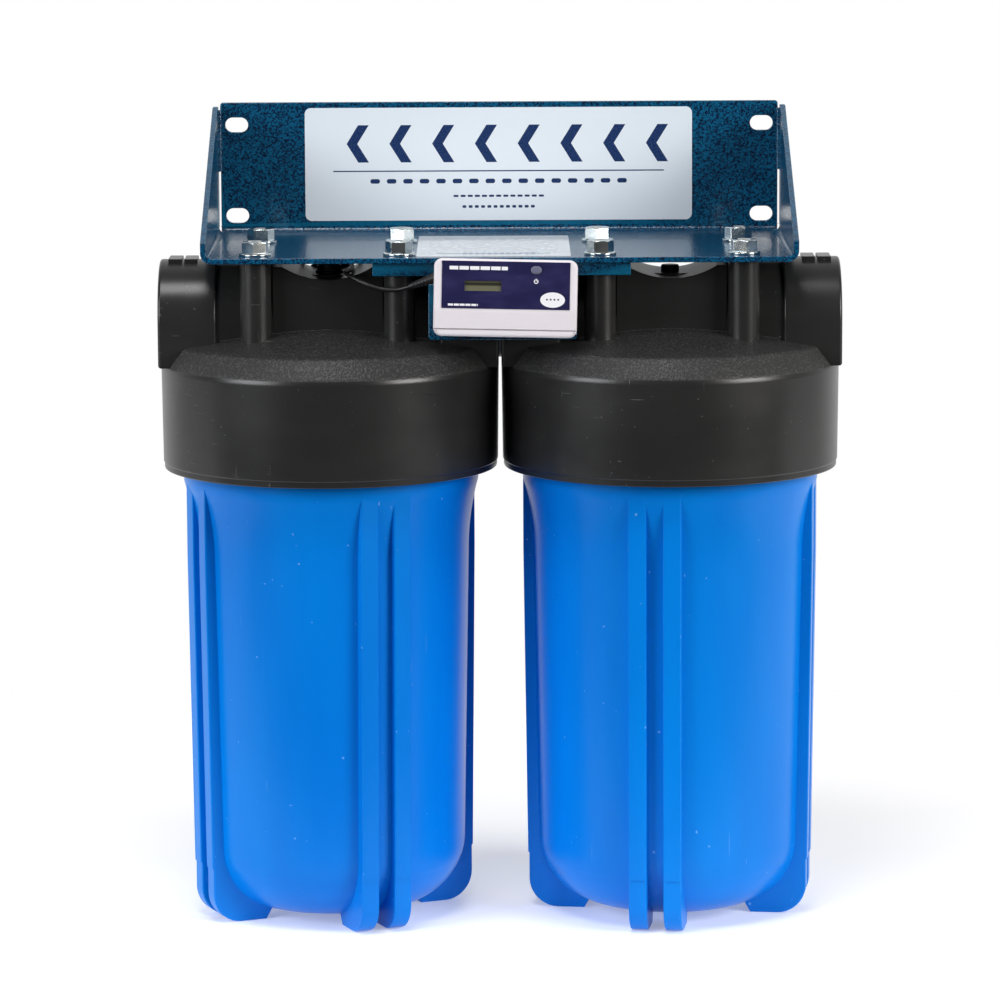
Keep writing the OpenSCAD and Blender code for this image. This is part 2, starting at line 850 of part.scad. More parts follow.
module power_button() {
    color("#5e5b86") on_monitor() translate([button_x, 0, button_z]) {
        slab(button_front_y, board_y - board_t - switch_t - button_travel - 0.1)
            obround(button_w, button_h);
        slab(case_front_y + case_wall + 0.1, case_front_y + case_wall + 1.1)
            obround(button_w + 1.6, button_h + 1.6);
    }
}

module button_cells() {
    color("#b9bcc0") on_monitor() for (x = cell_x) translate([x, case_back_y - 2.6, cell_z + 1])
        rotate([90, 0, 0])
        cylinder(r = cell_r, h = cell_h, $fn = 48);
}

module battery_contacts() {
    color("#c8a850") on_monitor() for (x = cell_x) translate([x, 0, cell_z + 1]) {
        slab(case_back_y - 2.6 - cell_h - 0.4, case_back_y - 2.6 - cell_h) square([8, 5], center = true);
        slab(board_y, case_back_y - 2.6 - cell_h - 0.4) square([3, 3], center = true);
    }
}

module battery_cover() {
    color("#e4e2e8") on_monitor() translate([0, 0, cell_z])
        slab(case_back_y - cover_t - 0.1, case_back_y - 0.1)
        square([cover_w - 0.3, cover_h - 0.3], center = true);
}

module case_screws() {
    color("#9a9da1") on_monitor() for (x = [-1, 1], z = [-1, 1])
        translate([x * screw_x, case_back_y - 0.3, z * screw_z]) rotate([90, 0, 0]) {
            cylinder(r = screw_r - 0.05, h = 13, $fn = 24);
            cylinder(r = screw_r + 1.1, h = 1.6, $fn = 24);
        }
}

// Cable, its sleeve, its slack and the probe
module along(from, to) {
    d = to - from;
    translate(from) rotate([0, acos(d[2] / norm(d)), atan2(d[1], d[0])]) children();
}

module sleeve_hole() {
    rotate([0, -case_turn, 0]) rotate([case_lean, 0, 0]) translate([-monitor_x, -monitor_y, -monitor_z])
        along(sleeve_from - 5 * unit(sleeve_to - sleeve_from), sleeve_to)
            cylinder(r = 2.9, h = 9, $fn = 32);
}

module cable_sleeve() {
    l = norm(sleeve_to - sleeve_from);
    color("#1a1a1c") on_centre_lines() along(sleeve_from, sleeve_to) {
        cylinder(r1 = 2.7, r2 = 1.6, h = l, $fn = 32);
        translate([0, 0, -2]) cylinder(r = 2.8, h = 2.5, $fn = 32);
    }
}

module sensor_cable() {
    color("#161618") on_centre_lines()
        tube_along(smooth(lead_route, cable_step), cable_r, cable_sides, [0.9, 0.1, 0.4]);
}

module cable_tail() {
    color("#161618") on_centre_lines()
        tube_along(smooth(tail_route, cable_step), cable_r, cable_sides, [1, 0.1, 0.2]);
}

module on_coil() {
    on_centre_lines() translate(coil_at) rotate([coil_tilt, 0, 0]) children();
}

module cable_coil() {
    color("#161618") on_coil() ring(coil_mid_r + coil_w / 2, coil_mid_r - coil_w / 2, 0, coil_h);
}

module cable_tie() {
    color("#d8d4c8") on_coil() translate([0, -coil_mid_r, coil_h / 2]) difference() {
        cube([tie_w, coil_w + 2 * tie_t, coil_h + 2 * tie_t], center = true);
        cube([tie_w + 1, coil_w + 0.3, coil_h + 0.1], center = true);
    }
}

module probe_body() {
    color("#2a2a2d") at_housing(left) {
        translate([0, 0, turret_z + probe_seal_t]) cylinder(r = probe_head_r, h = probe_head_h);
        translate([0, 0, waterway_roof_z]) cylinder(r = probe_thread_r, h = turret_z + 2 - waterway_roof_z);
        translate([0, 0, probe_tip_z]) cylinder(r = probe_barrel_r, h = waterway_roof_z - probe_tip_z + 1);
    }
}

module probe_pins() {
    color("#c6c8ca") at_housing(left) for (s = [-0.5, 0.5])
        translate([s * pin_gap, 0, probe_tip_z - pin_l]) cylinder(r = pin_r, h = pin_l, $fn = 24);
}

module probe_seal() {
    color("#101010") at_housing(left) ring(probe_head_r + 1, probe_thread_r + 0.1, turret_z,
        turret_z + probe_seal_t);
}

module relief_button() {
    color("#141416") at_housing(right) {
        translate([0, 0, relief_foot_z])
            cylinder(r = relief_r, h = turret_z + relief_cap_h - relief_foot_z);
        translate([0, 0, relief_pin_z]) cylinder(r = relief_stem_r, h = relief_foot_z - relief_pin_z + 1);
        translate([0, 0, relief_pin_z]) cylinder(r = relief_disc_r, h = relief_disc_t);
    }
}

module relief_seal() {
    color("#101010") at_housing(right) ring(relief_seal_r, relief_stem_r + 0.02,
        relief_pocket_z - 0.05 - relief_seal_t, relief_pocket_z - 0.05);
}

module relief_spring() {
    low_z = relief_floor_z + spring_wire_r + 0.05;
    rise = relief_foot_z - relief_floor_z - 2 * spring_wire_r - 0.1;
    count = spring_turns * spring_steps;
    coil = [
        for (i = [0:count]) let (a = 360 * i / spring_steps)
            [spring_r * cos(a), spring_r * sin(a), low_z + rise * i / count]
    ];
    color("#a8abae") at_housing(right) tube_along(coil, spring_wire_r, 6, [0, 0, 1]);
}

wall_bracket();
left_cap();
right_cap();
joining_nipple();
cap_bolts();
back_label();
shelf_label();
monitor_bracket();
mounting_pad();
monitor_front_shell();
monitor_back_shell();
monitor_label();
display_module();
circuit_board();
power_switch();
button_cells();
battery_contacts();
battery_cover();
case_screws();
power_button();
cable_sleeve();
sensor_cable();
cable_coil();
cable_tail();
cable_tie();
probe_body();
probe_pins();
probe_seal();
relief_button();
relief_seal();
relief_spring();
left_o_ring();
left_sump();
left_cartridge_sleeve();
left_cartridge_media();
left_cartridge_core();
left_cartridge_top_cap();
left_cartridge_bottom_cap();
left_cartridge_gaskets();
right_o_ring();
right_sump();
right_cartridge_sleeve();
right_cartridge_media();
right_cartridge_core();
right_cartridge_top_cap();
right_cartridge_bottom_cap();
right_cartridge_gaskets();
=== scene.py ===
import json
import math

import bpy
from mathutils import Matrix, Vector


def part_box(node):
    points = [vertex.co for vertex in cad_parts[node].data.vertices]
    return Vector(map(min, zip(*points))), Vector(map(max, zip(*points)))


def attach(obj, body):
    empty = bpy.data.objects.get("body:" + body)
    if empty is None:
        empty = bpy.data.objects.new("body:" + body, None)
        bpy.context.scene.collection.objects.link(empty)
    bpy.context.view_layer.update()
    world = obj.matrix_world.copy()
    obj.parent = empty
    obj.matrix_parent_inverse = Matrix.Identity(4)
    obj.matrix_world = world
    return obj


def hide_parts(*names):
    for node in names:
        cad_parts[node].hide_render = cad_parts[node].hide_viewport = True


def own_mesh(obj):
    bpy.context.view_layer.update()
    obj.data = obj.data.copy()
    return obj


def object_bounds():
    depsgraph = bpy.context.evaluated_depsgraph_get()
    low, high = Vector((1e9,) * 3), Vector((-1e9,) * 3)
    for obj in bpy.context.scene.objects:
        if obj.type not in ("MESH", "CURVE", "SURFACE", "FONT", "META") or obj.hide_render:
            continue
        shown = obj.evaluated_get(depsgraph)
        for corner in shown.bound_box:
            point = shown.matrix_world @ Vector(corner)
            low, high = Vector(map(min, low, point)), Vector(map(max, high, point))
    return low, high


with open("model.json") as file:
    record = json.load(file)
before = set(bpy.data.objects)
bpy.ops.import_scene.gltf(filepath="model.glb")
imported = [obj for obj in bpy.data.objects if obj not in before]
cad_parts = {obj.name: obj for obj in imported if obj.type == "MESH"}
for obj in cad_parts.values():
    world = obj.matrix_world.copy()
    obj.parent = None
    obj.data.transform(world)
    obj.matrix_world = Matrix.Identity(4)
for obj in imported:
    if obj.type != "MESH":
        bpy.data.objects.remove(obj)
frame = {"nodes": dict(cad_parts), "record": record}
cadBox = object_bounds()
mm = 0.001


# Where the CAD model's main places are, in metres
def middle(node):
    low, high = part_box(node)
    return (low + high) / 2


unscrew = frame["record"]["behaviour"]["couplings"][0]["ratio"]
places = {
    "centreY": middle("left_cap").y,            # the housings' centre lines
    "housingX": {"left": middle("left_cap").x, "right": middle("right_cap").x},
    "capRim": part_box("left_cap")[0].z,
    "cartridgeTop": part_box("left_cartridge_gaskets")[1].z,
    "portHeight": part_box("joining_nipple")[0].z / 2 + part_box("joining_nipple")[1].z / 2,
    "postTop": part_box("left_cap")[1].z,
    "shelfTop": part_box("cap_bolts")[1].z - 8 * mm,
    "threadLead": unscrew * 2 * math.pi,        # how far a sump drops for each turn
}
capRadius = (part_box("left_cap")[1].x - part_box("left_cap")[0].x) / 2


def onLine(x, y, z):                            # millimetres from the housings' centre lines
    return Vector((x * mm, places["centreY"] + y * mm, z * mm))


# Small helpers for modelling by hand
def clearSelection():
    if bpy.context.object and bpy.context.object.mode != "OBJECT":
        bpy.ops.object.mode_set(mode="OBJECT")
    bpy.ops.object.select_all(action="DESELECT")


def focus(*pieces):
    clearSelection()
    for piece in pieces:
        piece.select_set(True)
    bpy.context.view_layer.objects.active = pieces[0]


def settle(piece):                              # puts the place into the mesh
    focus(piece)
    bpy.ops.object.transform_apply(location=True, rotation=True, scale=True)
    return piece


def cleaned(piece, outward=True):
    focus(piece)
    bpy.ops.object.mode_set(mode="EDIT")
    bpy.ops.mesh.select_all(action="SELECT")
    bpy.ops.mesh.remove_doubles(threshold=0.002 * mm)
    if outward:
        bpy.ops.mesh.normals_make_consistent(inside=False)
    bpy.ops.object.mode_set(mode="OBJECT")
    return piece


def applyModifiers(piece):
    focus(piece)
    for modifier in list(piece.modifiers):
        bpy.ops.object.modifier_apply(modifier=modifier.name)
    return piece


def smoothed(piece, degrees=32):                # flat faces keep their shading beside rounded edges
    focus(piece)
    bpy.ops.object.shade_smooth_by_angle(angle=math.radians(degrees))
    modifier = piece.modifiers.new("evenNormals", "WEIGHTED_NORMAL")
    modifier.keep_sharp = True
    return applyModifiers(piece)


def rounded(points, steps=5):
    # Each point is (across, up), or (across, up, cut) where its corner is rounded off
    line = []
    for i, point in enumerate(points):
        here = Vector(point[:2])
        if len(point) < 3:
            line.append(here)
            continue
        before = Vector(points[i - 1][:2])
        after = Vector(points[(i + 1) % len(points)][:2])
        start = here + (before - here).normalized() * point[2]
        end = here + (after - here).normalized() * point[2]
        for step in range(steps + 1):
            s = step / steps
            line.append(start * (1 - s) ** 2 + here * 2 * s * (1 - s) + end * s ** 2)
    return line


def arc(cx, cy, radius, start, end, steps):
    angles = [math.radians(start + (end - start) * i / steps) for i in range(steps + 1)]
    return [(cx + radius * math.cos(a), cy + radius * math.sin(a)) for a in angles]


def turned(name, profile, centre=(0, 0, 0), steps=96):
    # A profile of (radius, height) in millimetres, drawn as edges and spun round the upright axis
    clearSelection()
    bpy.ops.mesh.primitive_plane_add(size=mm, location=centre, enter_editmode=True)
    piece = bpy.context.object
    piece.name = name
    bpy.ops.mesh.merge(type="CENTER")
    last = Vector((0, 0))
    for i, point in enumerate(profile):
        step = (Vector(point[:2]) - last) * mm
        if i == 0:
            bpy.ops.transform.translate(value=(step.x, 0, step.y))
        else:
            bpy.ops.mesh.extrude_region_move(TRANSFORM_OT_translate={"value": (step.x, 0, step.y)})
        last = Vector(point[:2])
    bpy.ops.mesh.select_all(action="SELECT")
    bpy.ops.mesh.spin(steps=steps, angle=2 * math.pi, center=centre, axis=(0, 0, 1))
    bpy.ops.mesh.select_all(action="SELECT")
    bpy.ops.mesh.remove_doubles(threshold=0.002 * mm)
    bpy.ops.mesh.normals_make_consistent(inside=False)
    bpy.ops.object.mode_set(mode="OBJECT")
    return settle(piece)


def flatShape(name, outline, depth, bevel=0, turn=(0, 0, 0), place=(0, 0, 0)):
    # A closed outline in millimetres, given depth and rounded edges, then stood up and put in place
    curve = bpy.data.curves.new(name, "CURVE")
    curve.dimensions = "2D"
    curve.fill_mode = "BOTH"
    curve.extrude = (depth / 2 - bevel) * mm
    curve.bevel_depth = bevel * mm
    curve.bevel_resolution = 3
    curve.offset = -bevel * mm
    spline = curve.splines.new("POLY")
    spline.points.add(len(outline) - 1)
    for spot, point in zip(spline.points, outline):
        spot.co = (point[0] * mm, point[1] * mm, 0, 1)
    spline.use_cyclic_u = True
    piece = bpy.data.objects.new(name, curve)
    bpy.context.scene.collection.objects.link(piece)
    focus(piece)
    bpy.ops.object.convert(target="MESH")
    piece = bpy.context.object
    piece.rotation_euler = [math.radians(a) for a in turn]
    piece.location = place
    settle(piece)
    return cleaned(piece)


def tube(name, path, radius, sides=3):
    # A round rod along a list of points in metres
    curve = bpy.data.curves.new(name, "CURVE")
    curve.dimensions = "3D"
    curve.bevel_depth = radius
    curve.bevel_resolution = sides
    curve.use_fill_caps = True
    spline = curve.splines.new("POLY")
    spline.points.add(len(path) - 1)
    for spot, point in zip(spline.points, path):
        spot.co = (*point, 1)
    piece = bpy.data.objects.new(name, curve)
    bpy.context.scene.collection.objects.link(piece)
    return piece


def madeMesh(piece):
    focus(piece)
    bpy.ops.object.convert(target="MESH")
    return cleaned(bpy.context.object)


def combine(piece, other, operation="UNION"):
    modifier = piece.modifiers.new("combine", "BOOLEAN")
    modifier.operation = operation
    modifier.solver = "MANIFOLD"
    modifier.object = other
    applyModifiers(piece)
    bpy.data.objects.remove(other)
    return piece


def joined(name, pieces):
    focus(*pieces)
    bpy.ops.object.join()
    piece = bpy.context.object
    piece.name = name
    return piece


def copied(piece, name):
    twin = piece.copy()
    twin.data = piece.data.copy()
    twin.name = name
    bpy.context.scene.collection.objects.link(twin)
    return twin


def moved(piece, place=(0, 0, 0), turn=0):
    piece.location = place
    piece.rotation_euler = (0, 0, turn)
    return settle(piece)


def rod(name, radius, start, end):
    # A closed cylinder from one point to another, in metres, used as a cutter
    line = Vector(end) - Vector(start)
    clearSelection()
    bpy.ops.mesh.primitive_cylinder_add(
        vertices=64, radius=radius, depth=line.length, location=(Vector(start) + Vector(end)) / 2,
        rotation=line.to_track_quat("Z", "Y").to_euler(),
    )
    bpy.context.object.name = name
    return settle(bpy.context.object)


def solidCopy(node, name):
    # A merged copy of a CAD node, its flat faces whole again, to be finished by hand
    piece = bpy.data.objects.new(name, frame["nodes"][node].data.copy())
    bpy.context.scene.collection.objects.link(piece)
    cleaned(piece, outward=False)
    bpy.ops.object.mode_set(mode="EDIT")
    bpy.ops.mesh.select_all(action="SELECT")
    bpy.ops.mesh.customdata_custom_splitnormals_clear()
    bpy.ops.mesh.dissolve_limited(angle_limit=math.radians(0.6))
    bpy.ops.object.mode_set(mode="OBJECT")
    return piece


def softEdges(piece, width, segments=2, degrees=38):
    modifier = piece.modifiers.new("softEdges", "BEVEL")
    modifier.width = width
    modifier.segments = segments
    modifier.limit_method = "ANGLE"
    modifier.angle_limit = math.radians(degrees)
    modifier.use_clamp_overlap = False
    return applyModifiers(piece)


def finishPiece(piece, body, slot, *nodes):     # its finish, its body, and the CAD nodes it stands for
    piece.data.materials.clear()
    piece.data.materials.append(finishes[slot])
    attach(piece, body)
    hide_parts(*nodes)


# Shader nodes as Python expressions
class Wire:                                     # one output socket, usable in sums
    def __init__(self, board, socket):
        self.board = board
        self.socket = socket

    def math(self, operation, *values):
        inputs = {i: value for i, value in enumerate(values)}
        return self.board.add("ShaderNodeMath", {"operation": operation}, inputs)

    def __add__(self, other):
        return self.math("ADD", self, other)

    def __radd__(self, other):
        return self.math("ADD", other, self)

    def __sub__(self, other):
        return self.math("SUBTRACT", self, other)

    def __rsub__(self, other):
        return self.math("SUBTRACT", other, self)

    def __mul__(self, other):
        return self.math("MULTIPLY", self, other)

    def __rmul__(self, other):
        return self.math("MULTIPLY", other, self)

    def __truediv__(self, other):
        return self.math("DIVIDE", self, other)

    def __pow__(self, other):
        return self.math("POWER", self, other)

    def size(self):
        return self.math("ABSOLUTE", self)

    def most(self, other):
        return self.math("MAXIMUM", self, other)

    def least(self, other):
        return self.math("MINIMUM", self, other)

    def wave(self):
        return self.math("SINE", self)

    def rest(self, step):                       # what is left over after whole steps
        return self.math("FLOORED_MODULO", self, step)

    def fade(self, low, high):                  # 0 below low, 1 above high, smooth between
        return self.board.add(
            "ShaderNodeMapRange", {"interpolation_type": "SMOOTHSTEP"},
            {"Value": self, "From Min": low, "From Max": high},
        )


class Board:                                    # the nodes of one material
    def __init__(self, name, **fixed):
        self.material = bpy.data.materials.new(name)
        self.material.use_nodes = True
        self.nodes = self.material.node_tree.nodes
        self.links = self.material.node_tree.links
        self.shader = self.nodes["Principled BSDF"]
        for socket, value in fixed.items():
            self.shader.inputs[socket.replace("_", " ")].default_value = value

    def add(self, kind, settings=None, inputs=None, output=0):
        node = self.nodes.new(kind)
        for key, value in (settings or {}).items():
            if key == "stops":
                ramp = node.color_ramp
                while len(ramp.elements) < len(value):
                    ramp.elements.new(0.5)
                for element, (position, colour) in zip(ramp.elements, value):
                    element.position = position
                    element.color = colour
            else:
                setattr(node, key, value)
        for key, value in (inputs or {}).items():
            if isinstance(value, Wire):
                self.links.new(value.socket, node.inputs[key])
            else:
                node.inputs[key].default_value = value
        return Wire(self, node.outputs[output])

    def place(self):
        return self.add("ShaderNodeTexCoord", output="Object")

    def axes(self, vector):                     # x, y and z in millimetres
        grown = self.add("ShaderNodeVectorMath", {"operation": "SCALE"}, {0: vector, "Scale": 1000.0})
        return [self.add("ShaderNodeSeparateXYZ", inputs={0: grown}, output=i) for i in range(3)]

    def facing(self):                           # the surface's own direction
        normal = self.add("ShaderNodeNewGeometry", output="Normal")
        return [self.add("ShaderNodeSeparateXYZ", inputs={0: normal}, output=i) for i in range(3)]

    def stretched(self, vector, scale, turn=(0, 0, 0), shift=(0, 0, 0)):
        return self.add("ShaderNodeMapping", inputs={
            "Vector": vector, "Scale": scale, "Rotation": turn, "Location": shift,
        })

    def noise(self, vector, scale, detail=2.0, roughness=0.5):
        return self.add("ShaderNodeTexNoise", inputs={
            "Vector": vector, "Scale": scale, "Detail": detail, "Roughness": roughness,
        })

    def cells(self, vector, scale, feature="F1"):
        return self.add("ShaderNodeTexVoronoi", {"feature": feature}, {"Vector": vector, "Scale": scale})

    def ramp(self, value, *stops):
        whole = [(position, (*colour, 1)) for position, colour in stops]
        return self.add("ShaderNodeValToRGB", {"stops": whole}, {0: value})

    def mix(self, share, first, second):        # colours
        first, second = [c if isinstance(c, Wire) else (*c, 1) for c in (first, second)]
        return self.add("ShaderNodeMix", {"data_type": "RGBA"}, {0: share, 6: first, 7: second}, 2)

    def use(self, colour, roughness=None, height=None, depth=0.1 * mm, strength=1.0):
        for socket, value in (("Base Color", colour), ("Roughness", roughness)):
            if isinstance(value, Wire):
                self.links.new(value.socket, self.shader.inputs[socket])
            elif value is not None:
                self.shader.inputs[socket].default_value = value
        if height is not None:
            bump = self.add("ShaderNodeBump", inputs={
                "Height": height, "Distance": depth, "Strength": strength,
            })
            self.links.new(bump.socket, self.shader.inputs["Normal"])
        return self.material


def roundedBox(x, z, cx, cz, w, h, r):           # 1 inside a rounded rectangle, 0 outside
    blur = 0.06
    across = ((x - cx).size() - (w / 2 - r)).most(0.0)
    up = ((z - cz).size() - (h / 2 - r)).most(0.0)
    reach = (across * across + up * up) ** 0.5
    return 1 - reach.fade(r - blur, r + blur)


# Camera, light and floor
camera = {
    "place": (-0.4 * mm, -2781.95 * mm, 652.5 * mm),
    "downwards": 0.152,                         # radians below level
    "roll": -0.0046,
    "lens": 184.55,
}
upright = Matrix.Rotation(math.pi / 2 - camera["downwards"], 3, "X")
upright = upright @ Matrix.Rotation(camera["roll"], 3, "Z")
bpy.ops.object.camera_add(location=camera["place"], rotation=upright.to_euler())
bpy.context.object.data.lens = camera["lens"]
bpy.context.object.data.clip_end = 20
bpy.context.scene.camera = bpy.context.object
bpy.context.scene.view_settings.view_transform = "Standard"

lights = {                                      # name: place, aimed at, size, watts, colour
    "overheadBox": ((-0.2, -0.75, 1.95), (0, 0, 0.3), 0.6, 14, (1.0, 0.98, 1.0)),
    "leftBox": ((-1.6, -1.1, 0.85), (0, 0, 0.2), 1.0, 28, (0.96, 0.98, 1.0)),
    "rightBox": ((1.6, -1.1, 0.85), (0, 0, 0.2), 0.9, 34, (1.0, 0.98, 0.95)),
}
for lightName, (lightPlace, aim, width, watts, tint) in lights.items():
    direction = Vector(aim) - Vector(lightPlace)
    bpy.ops.object.light_add(
        type="AREA", location=lightPlace, rotation=direction.to_track_quat("-Z", "Y").to_euler(),
    )
    lamp = bpy.context.object
    lamp.name = lightName
    lamp.data.shape = "SQUARE"
    lamp.data.size = width
    lamp.data.energy = watts
    lamp.data.color = tint

studio = {"front": 0.07, "behind": 0.9, "seen": 1.0}    # how bright the white room is, by side
world = bpy.data.worlds.new("studio")
world.use_nodes = True
bpy.context.scene.world = world
worldNodes, worldLinks = world.node_tree.nodes, world.node_tree.links
toward = worldNodes.new("ShaderNodeSeparateXYZ")
worldLinks.new(worldNodes.new("ShaderNodeTexCoord").outputs["Generated"], toward.inputs[0])
brightness = worldNodes.new("ShaderNodeMapRange")
brightness.inputs["From Min"].default_value = -0.1
brightness.inputs["From Max"].default_value = 0.75
brightness.inputs["To Min"].default_value = studio["front"]
brightness.inputs["To Max"].default_value = studio["behind"]
worldLinks.new(toward.outputs["Y"], brightness.inputs["Value"])
seen = worldNodes.new("ShaderNodeMix")
worldLinks.new(worldNodes.new("ShaderNodeLightPath").outputs["Is Camera Ray"], seen.inputs[0])
worldLinks.new(brightness.outputs[0], seen.inputs[2])
seen.inputs[3].default_value = studio["seen"]
worldLinks.new(seen.outputs[0], worldNodes["Background"].inputs["Strength"])
worldNodes["Background"].inputs["Color"].default_value = (1, 1, 1, 1)

floorShape = {"wide": 6.0, "behind": 0.62, "ahead": 0.26}
bpy.ops.mesh.primitive_plane_add(size=1, location=(0, 0, cadBox[0].z))
floor = bpy.context.object
floor.name = "studioFloor"
floor.scale = (floorShape["wide"], floorShape["behind"] + floorShape["ahead"], 1)
floor.location.y = (floorShape["behind"] - floorShape["ahead"]) / 2
settle(floor)
paper = Board("whitePaper", Roughness=0.6)
tooth = paper.noise(paper.place(), 220.0)
paper.shader.inputs["Emission Color"].default_value = (1, 1, 1, 1)
paper.shader.inputs["Emission Strength"].default_value = 0.28
floor.data.materials.append(paper.use(
    paper.mix(tooth, (0.88, 0.88, 0.89), (0.92, 0.92, 0.92)), height=tooth, depth=0.05 * mm, strength=0.2,
))
print("camera, lights and floor are in place")


# Finishes
def capPlastic():
    # Black moulded polypropylene: smooth skirt and ports, pebbled shoulder, a few scuffs
    tones = {
        "deep": (0.012, 0.012, 0.0123), "paler": (0.021, 0.0206, 0.0202), "scuff": (0.16, 0.16, 0.155),
        "grain": (0.05, 0.05, 0.05),
    }
    grain = {"low": 303.4, "high": 304.4, "top": 330.0, "size": 950.0}
    board = Board("capPlastic", Specular_IOR_Level=0.42)
    place = board.place()
    z = board.axes(place)[2]
    up = board.facing()[2]
    pebbled = z.fade(grain["low"], grain["high"]) * (1 - z.fade(grain["top"], grain["top"] + 0.6))
    pebbled = pebbled * up.fade(0.3, 0.45)
    pebbles = board.cells(place, grain["size"], "SMOOTH_F1")
    fine = board.noise(place, 2600.0, 3.0, 0.6)
    clouds = board.noise(board.stretched(place, (1.0, 1.0, 2.5)), 16.0, 3.0, 0.6)
    scratchField = board.noise(board.stretched(place, (900.0, 900.0, 40.0), (0.5, 0.3, 0.4)), 1.0, 1.0)
    crossField = board.noise(board.stretched(place, (60.0, 60.0, 1500.0), (0.2, 0.5, 0.0)), 1.0, 1.0)
    patches = board.noise(place, 11.0, 2.0).fade(0.5, 0.62)
    scratches = (scratchField.fade(0.73, 0.76) + crossField.fade(0.74, 0.77)) * patches
    dust = board.noise(place, 520.0, 1.0).fade(0.765, 0.79)
    colour = board.mix(clouds, tones["deep"], tones["paler"])
    colour = board.mix(pebbled * pebbles.fade(0.35, 0.75) * 0.75, colour, tones["grain"])
    colour = board.mix((scratches * 0.35 + dust * 0.55).least(1.0), colour, tones["scuff"])
    roughness = 0.24 + clouds * 0.12 + pebbled * 0.2 + scratches * 0.1
    height = pebbled * (1 - pebbles) + fine * 0.05 - scratches * 0.1
    return board.use(colour, roughness, height, 0.3 * mm, 0.85)


def sumpPlastic():
    # Bright blue moulded polypropylene with faint flow marks, small pale nicks and a soft skin
    tones = {"body": (0.0, 0.155, 0.60), "pale": (0.0, 0.20, 0.69), "nick": (0.25, 0.5, 0.9)}
    board = Board("sumpPlastic", Specular_IOR_Level=0.16, IOR=1.49)
    place = board.place()
    flow = board.noise(board.stretched(place, (14.0, 14.0, 3.0)), 1.0, 3.0, 0.55)
    skin = board.noise(place, 1500.0, 2.0, 0.6)
    ripple = board.noise(place, 60.0, 2.0, 0.5)
    nicks = board.noise(place, 300.0, 1.0).fade(0.785, 0.80)
    lines = board.noise(board.stretched(place, (700.0, 700.0, 30.0), (0.2, 0.1, 0.0)), 1.0, 1.0)
    lines = lines.fade(0.76, 0.78) * board.noise(place, 13.0).fade(0.52, 0.64)
    colour = board.mix(flow.fade(0.3, 0.75), tones["body"], tones["pale"])
    colour = board.mix((nicks * 0.5 + lines * 0.2).least(1.0), colour, tones["nick"])
    roughness = 0.25 + flow * 0.1 + lines * 0.1
    return board.use(colour, roughness, skin * 0.25 + ripple * 0.6 - nicks * 0.5, 0.06 * mm, 0.35)


def hammertone():
    # Glossy hammered enamel: navy flecks over teal, with a painted highlight that makes it lighter along the
    # sheet's sharp edges
    tones = {
        "fleck": (0.0005, 0.008, 0.032), "coat": (0.0012, 0.090, 0.190), "edge": (0.002, 0.11, 0.21),
    }
    board = Board("hammertone", Specular_IOR_Level=0.45, Coat_Weight=0.2, Coat_Roughness=0.08)
    place = board.place()
    flecks = board.noise(place, 1000.0, 2.5, 0.62)
    broad = board.noise(place, 34.0, 2.0)
    cells = board.cells(place, 700.0, "SMOOTH_F1")
    pointed = board.add("ShaderNodeNewGeometry", output="Pointiness")
    # painted highlight: the sheet's sharp edges turn a lighter teal, standing in for the light they catch
    paler = pointed.fade(0.53, 0.60)
    share = flecks.fade(0.38, 0.62) * (0.66 + broad * 0.55)
    colour = board.mix(share.least(1.0), tones["fleck"], tones["coat"])
    colour = board.mix(paler * 0.75, colour, tones["edge"])
    roughness = 0.16 + flecks * 0.12
    return board.use(colour, roughness, flecks * 0.5 + cells, 0.22 * mm, 0.8)


def zincPlate():
    # Bright zinc with a faint pale green and straw bloom and fine rolling marks
    board = Board("zincPlate", Metallic=1.0)
    place = board.place()
    bloom = board.noise(place, 240.0, 2.0)
    marks = board.noise(board.stretched(place, (900.0, 900.0, 4200.0)), 1.0, 2.0)
    colour = board.ramp(
        bloom, (0.3, (0.50, 0.58, 0.60)), (0.5, (0.66, 0.72, 0.74)), (0.72, (0.74, 0.76, 0.72)),
    )
    return board.use(colour, 0.10 + bloom * 0.12 + marks * 0.06, marks, 0.03 * mm, 0.35)


def plainSteel():
    board = Board("plainSteel", Metallic=1.0)
    place = board.place()
    marks = board.noise(board.stretched(place, (3000.0, 3000.0, 300.0)), 1.0, 2.0)
    colour = board.mix(marks, (0.48, 0.49, 0.50), (0.66, 0.67, 0.68))
    return board.use(colour, 0.24 + marks * 0.14, marks, 0.02 * mm, 0.3)


def brassContact():
    board = Board("brassContact", Metallic=1.0)
    bloom = board.noise(board.place(), 400.0, 2.0)
    return board.use(board.mix(bloom, (0.60, 0.42, 0.14), (0.78, 0.62, 0.28)), 0.22 + bloom * 0.14)


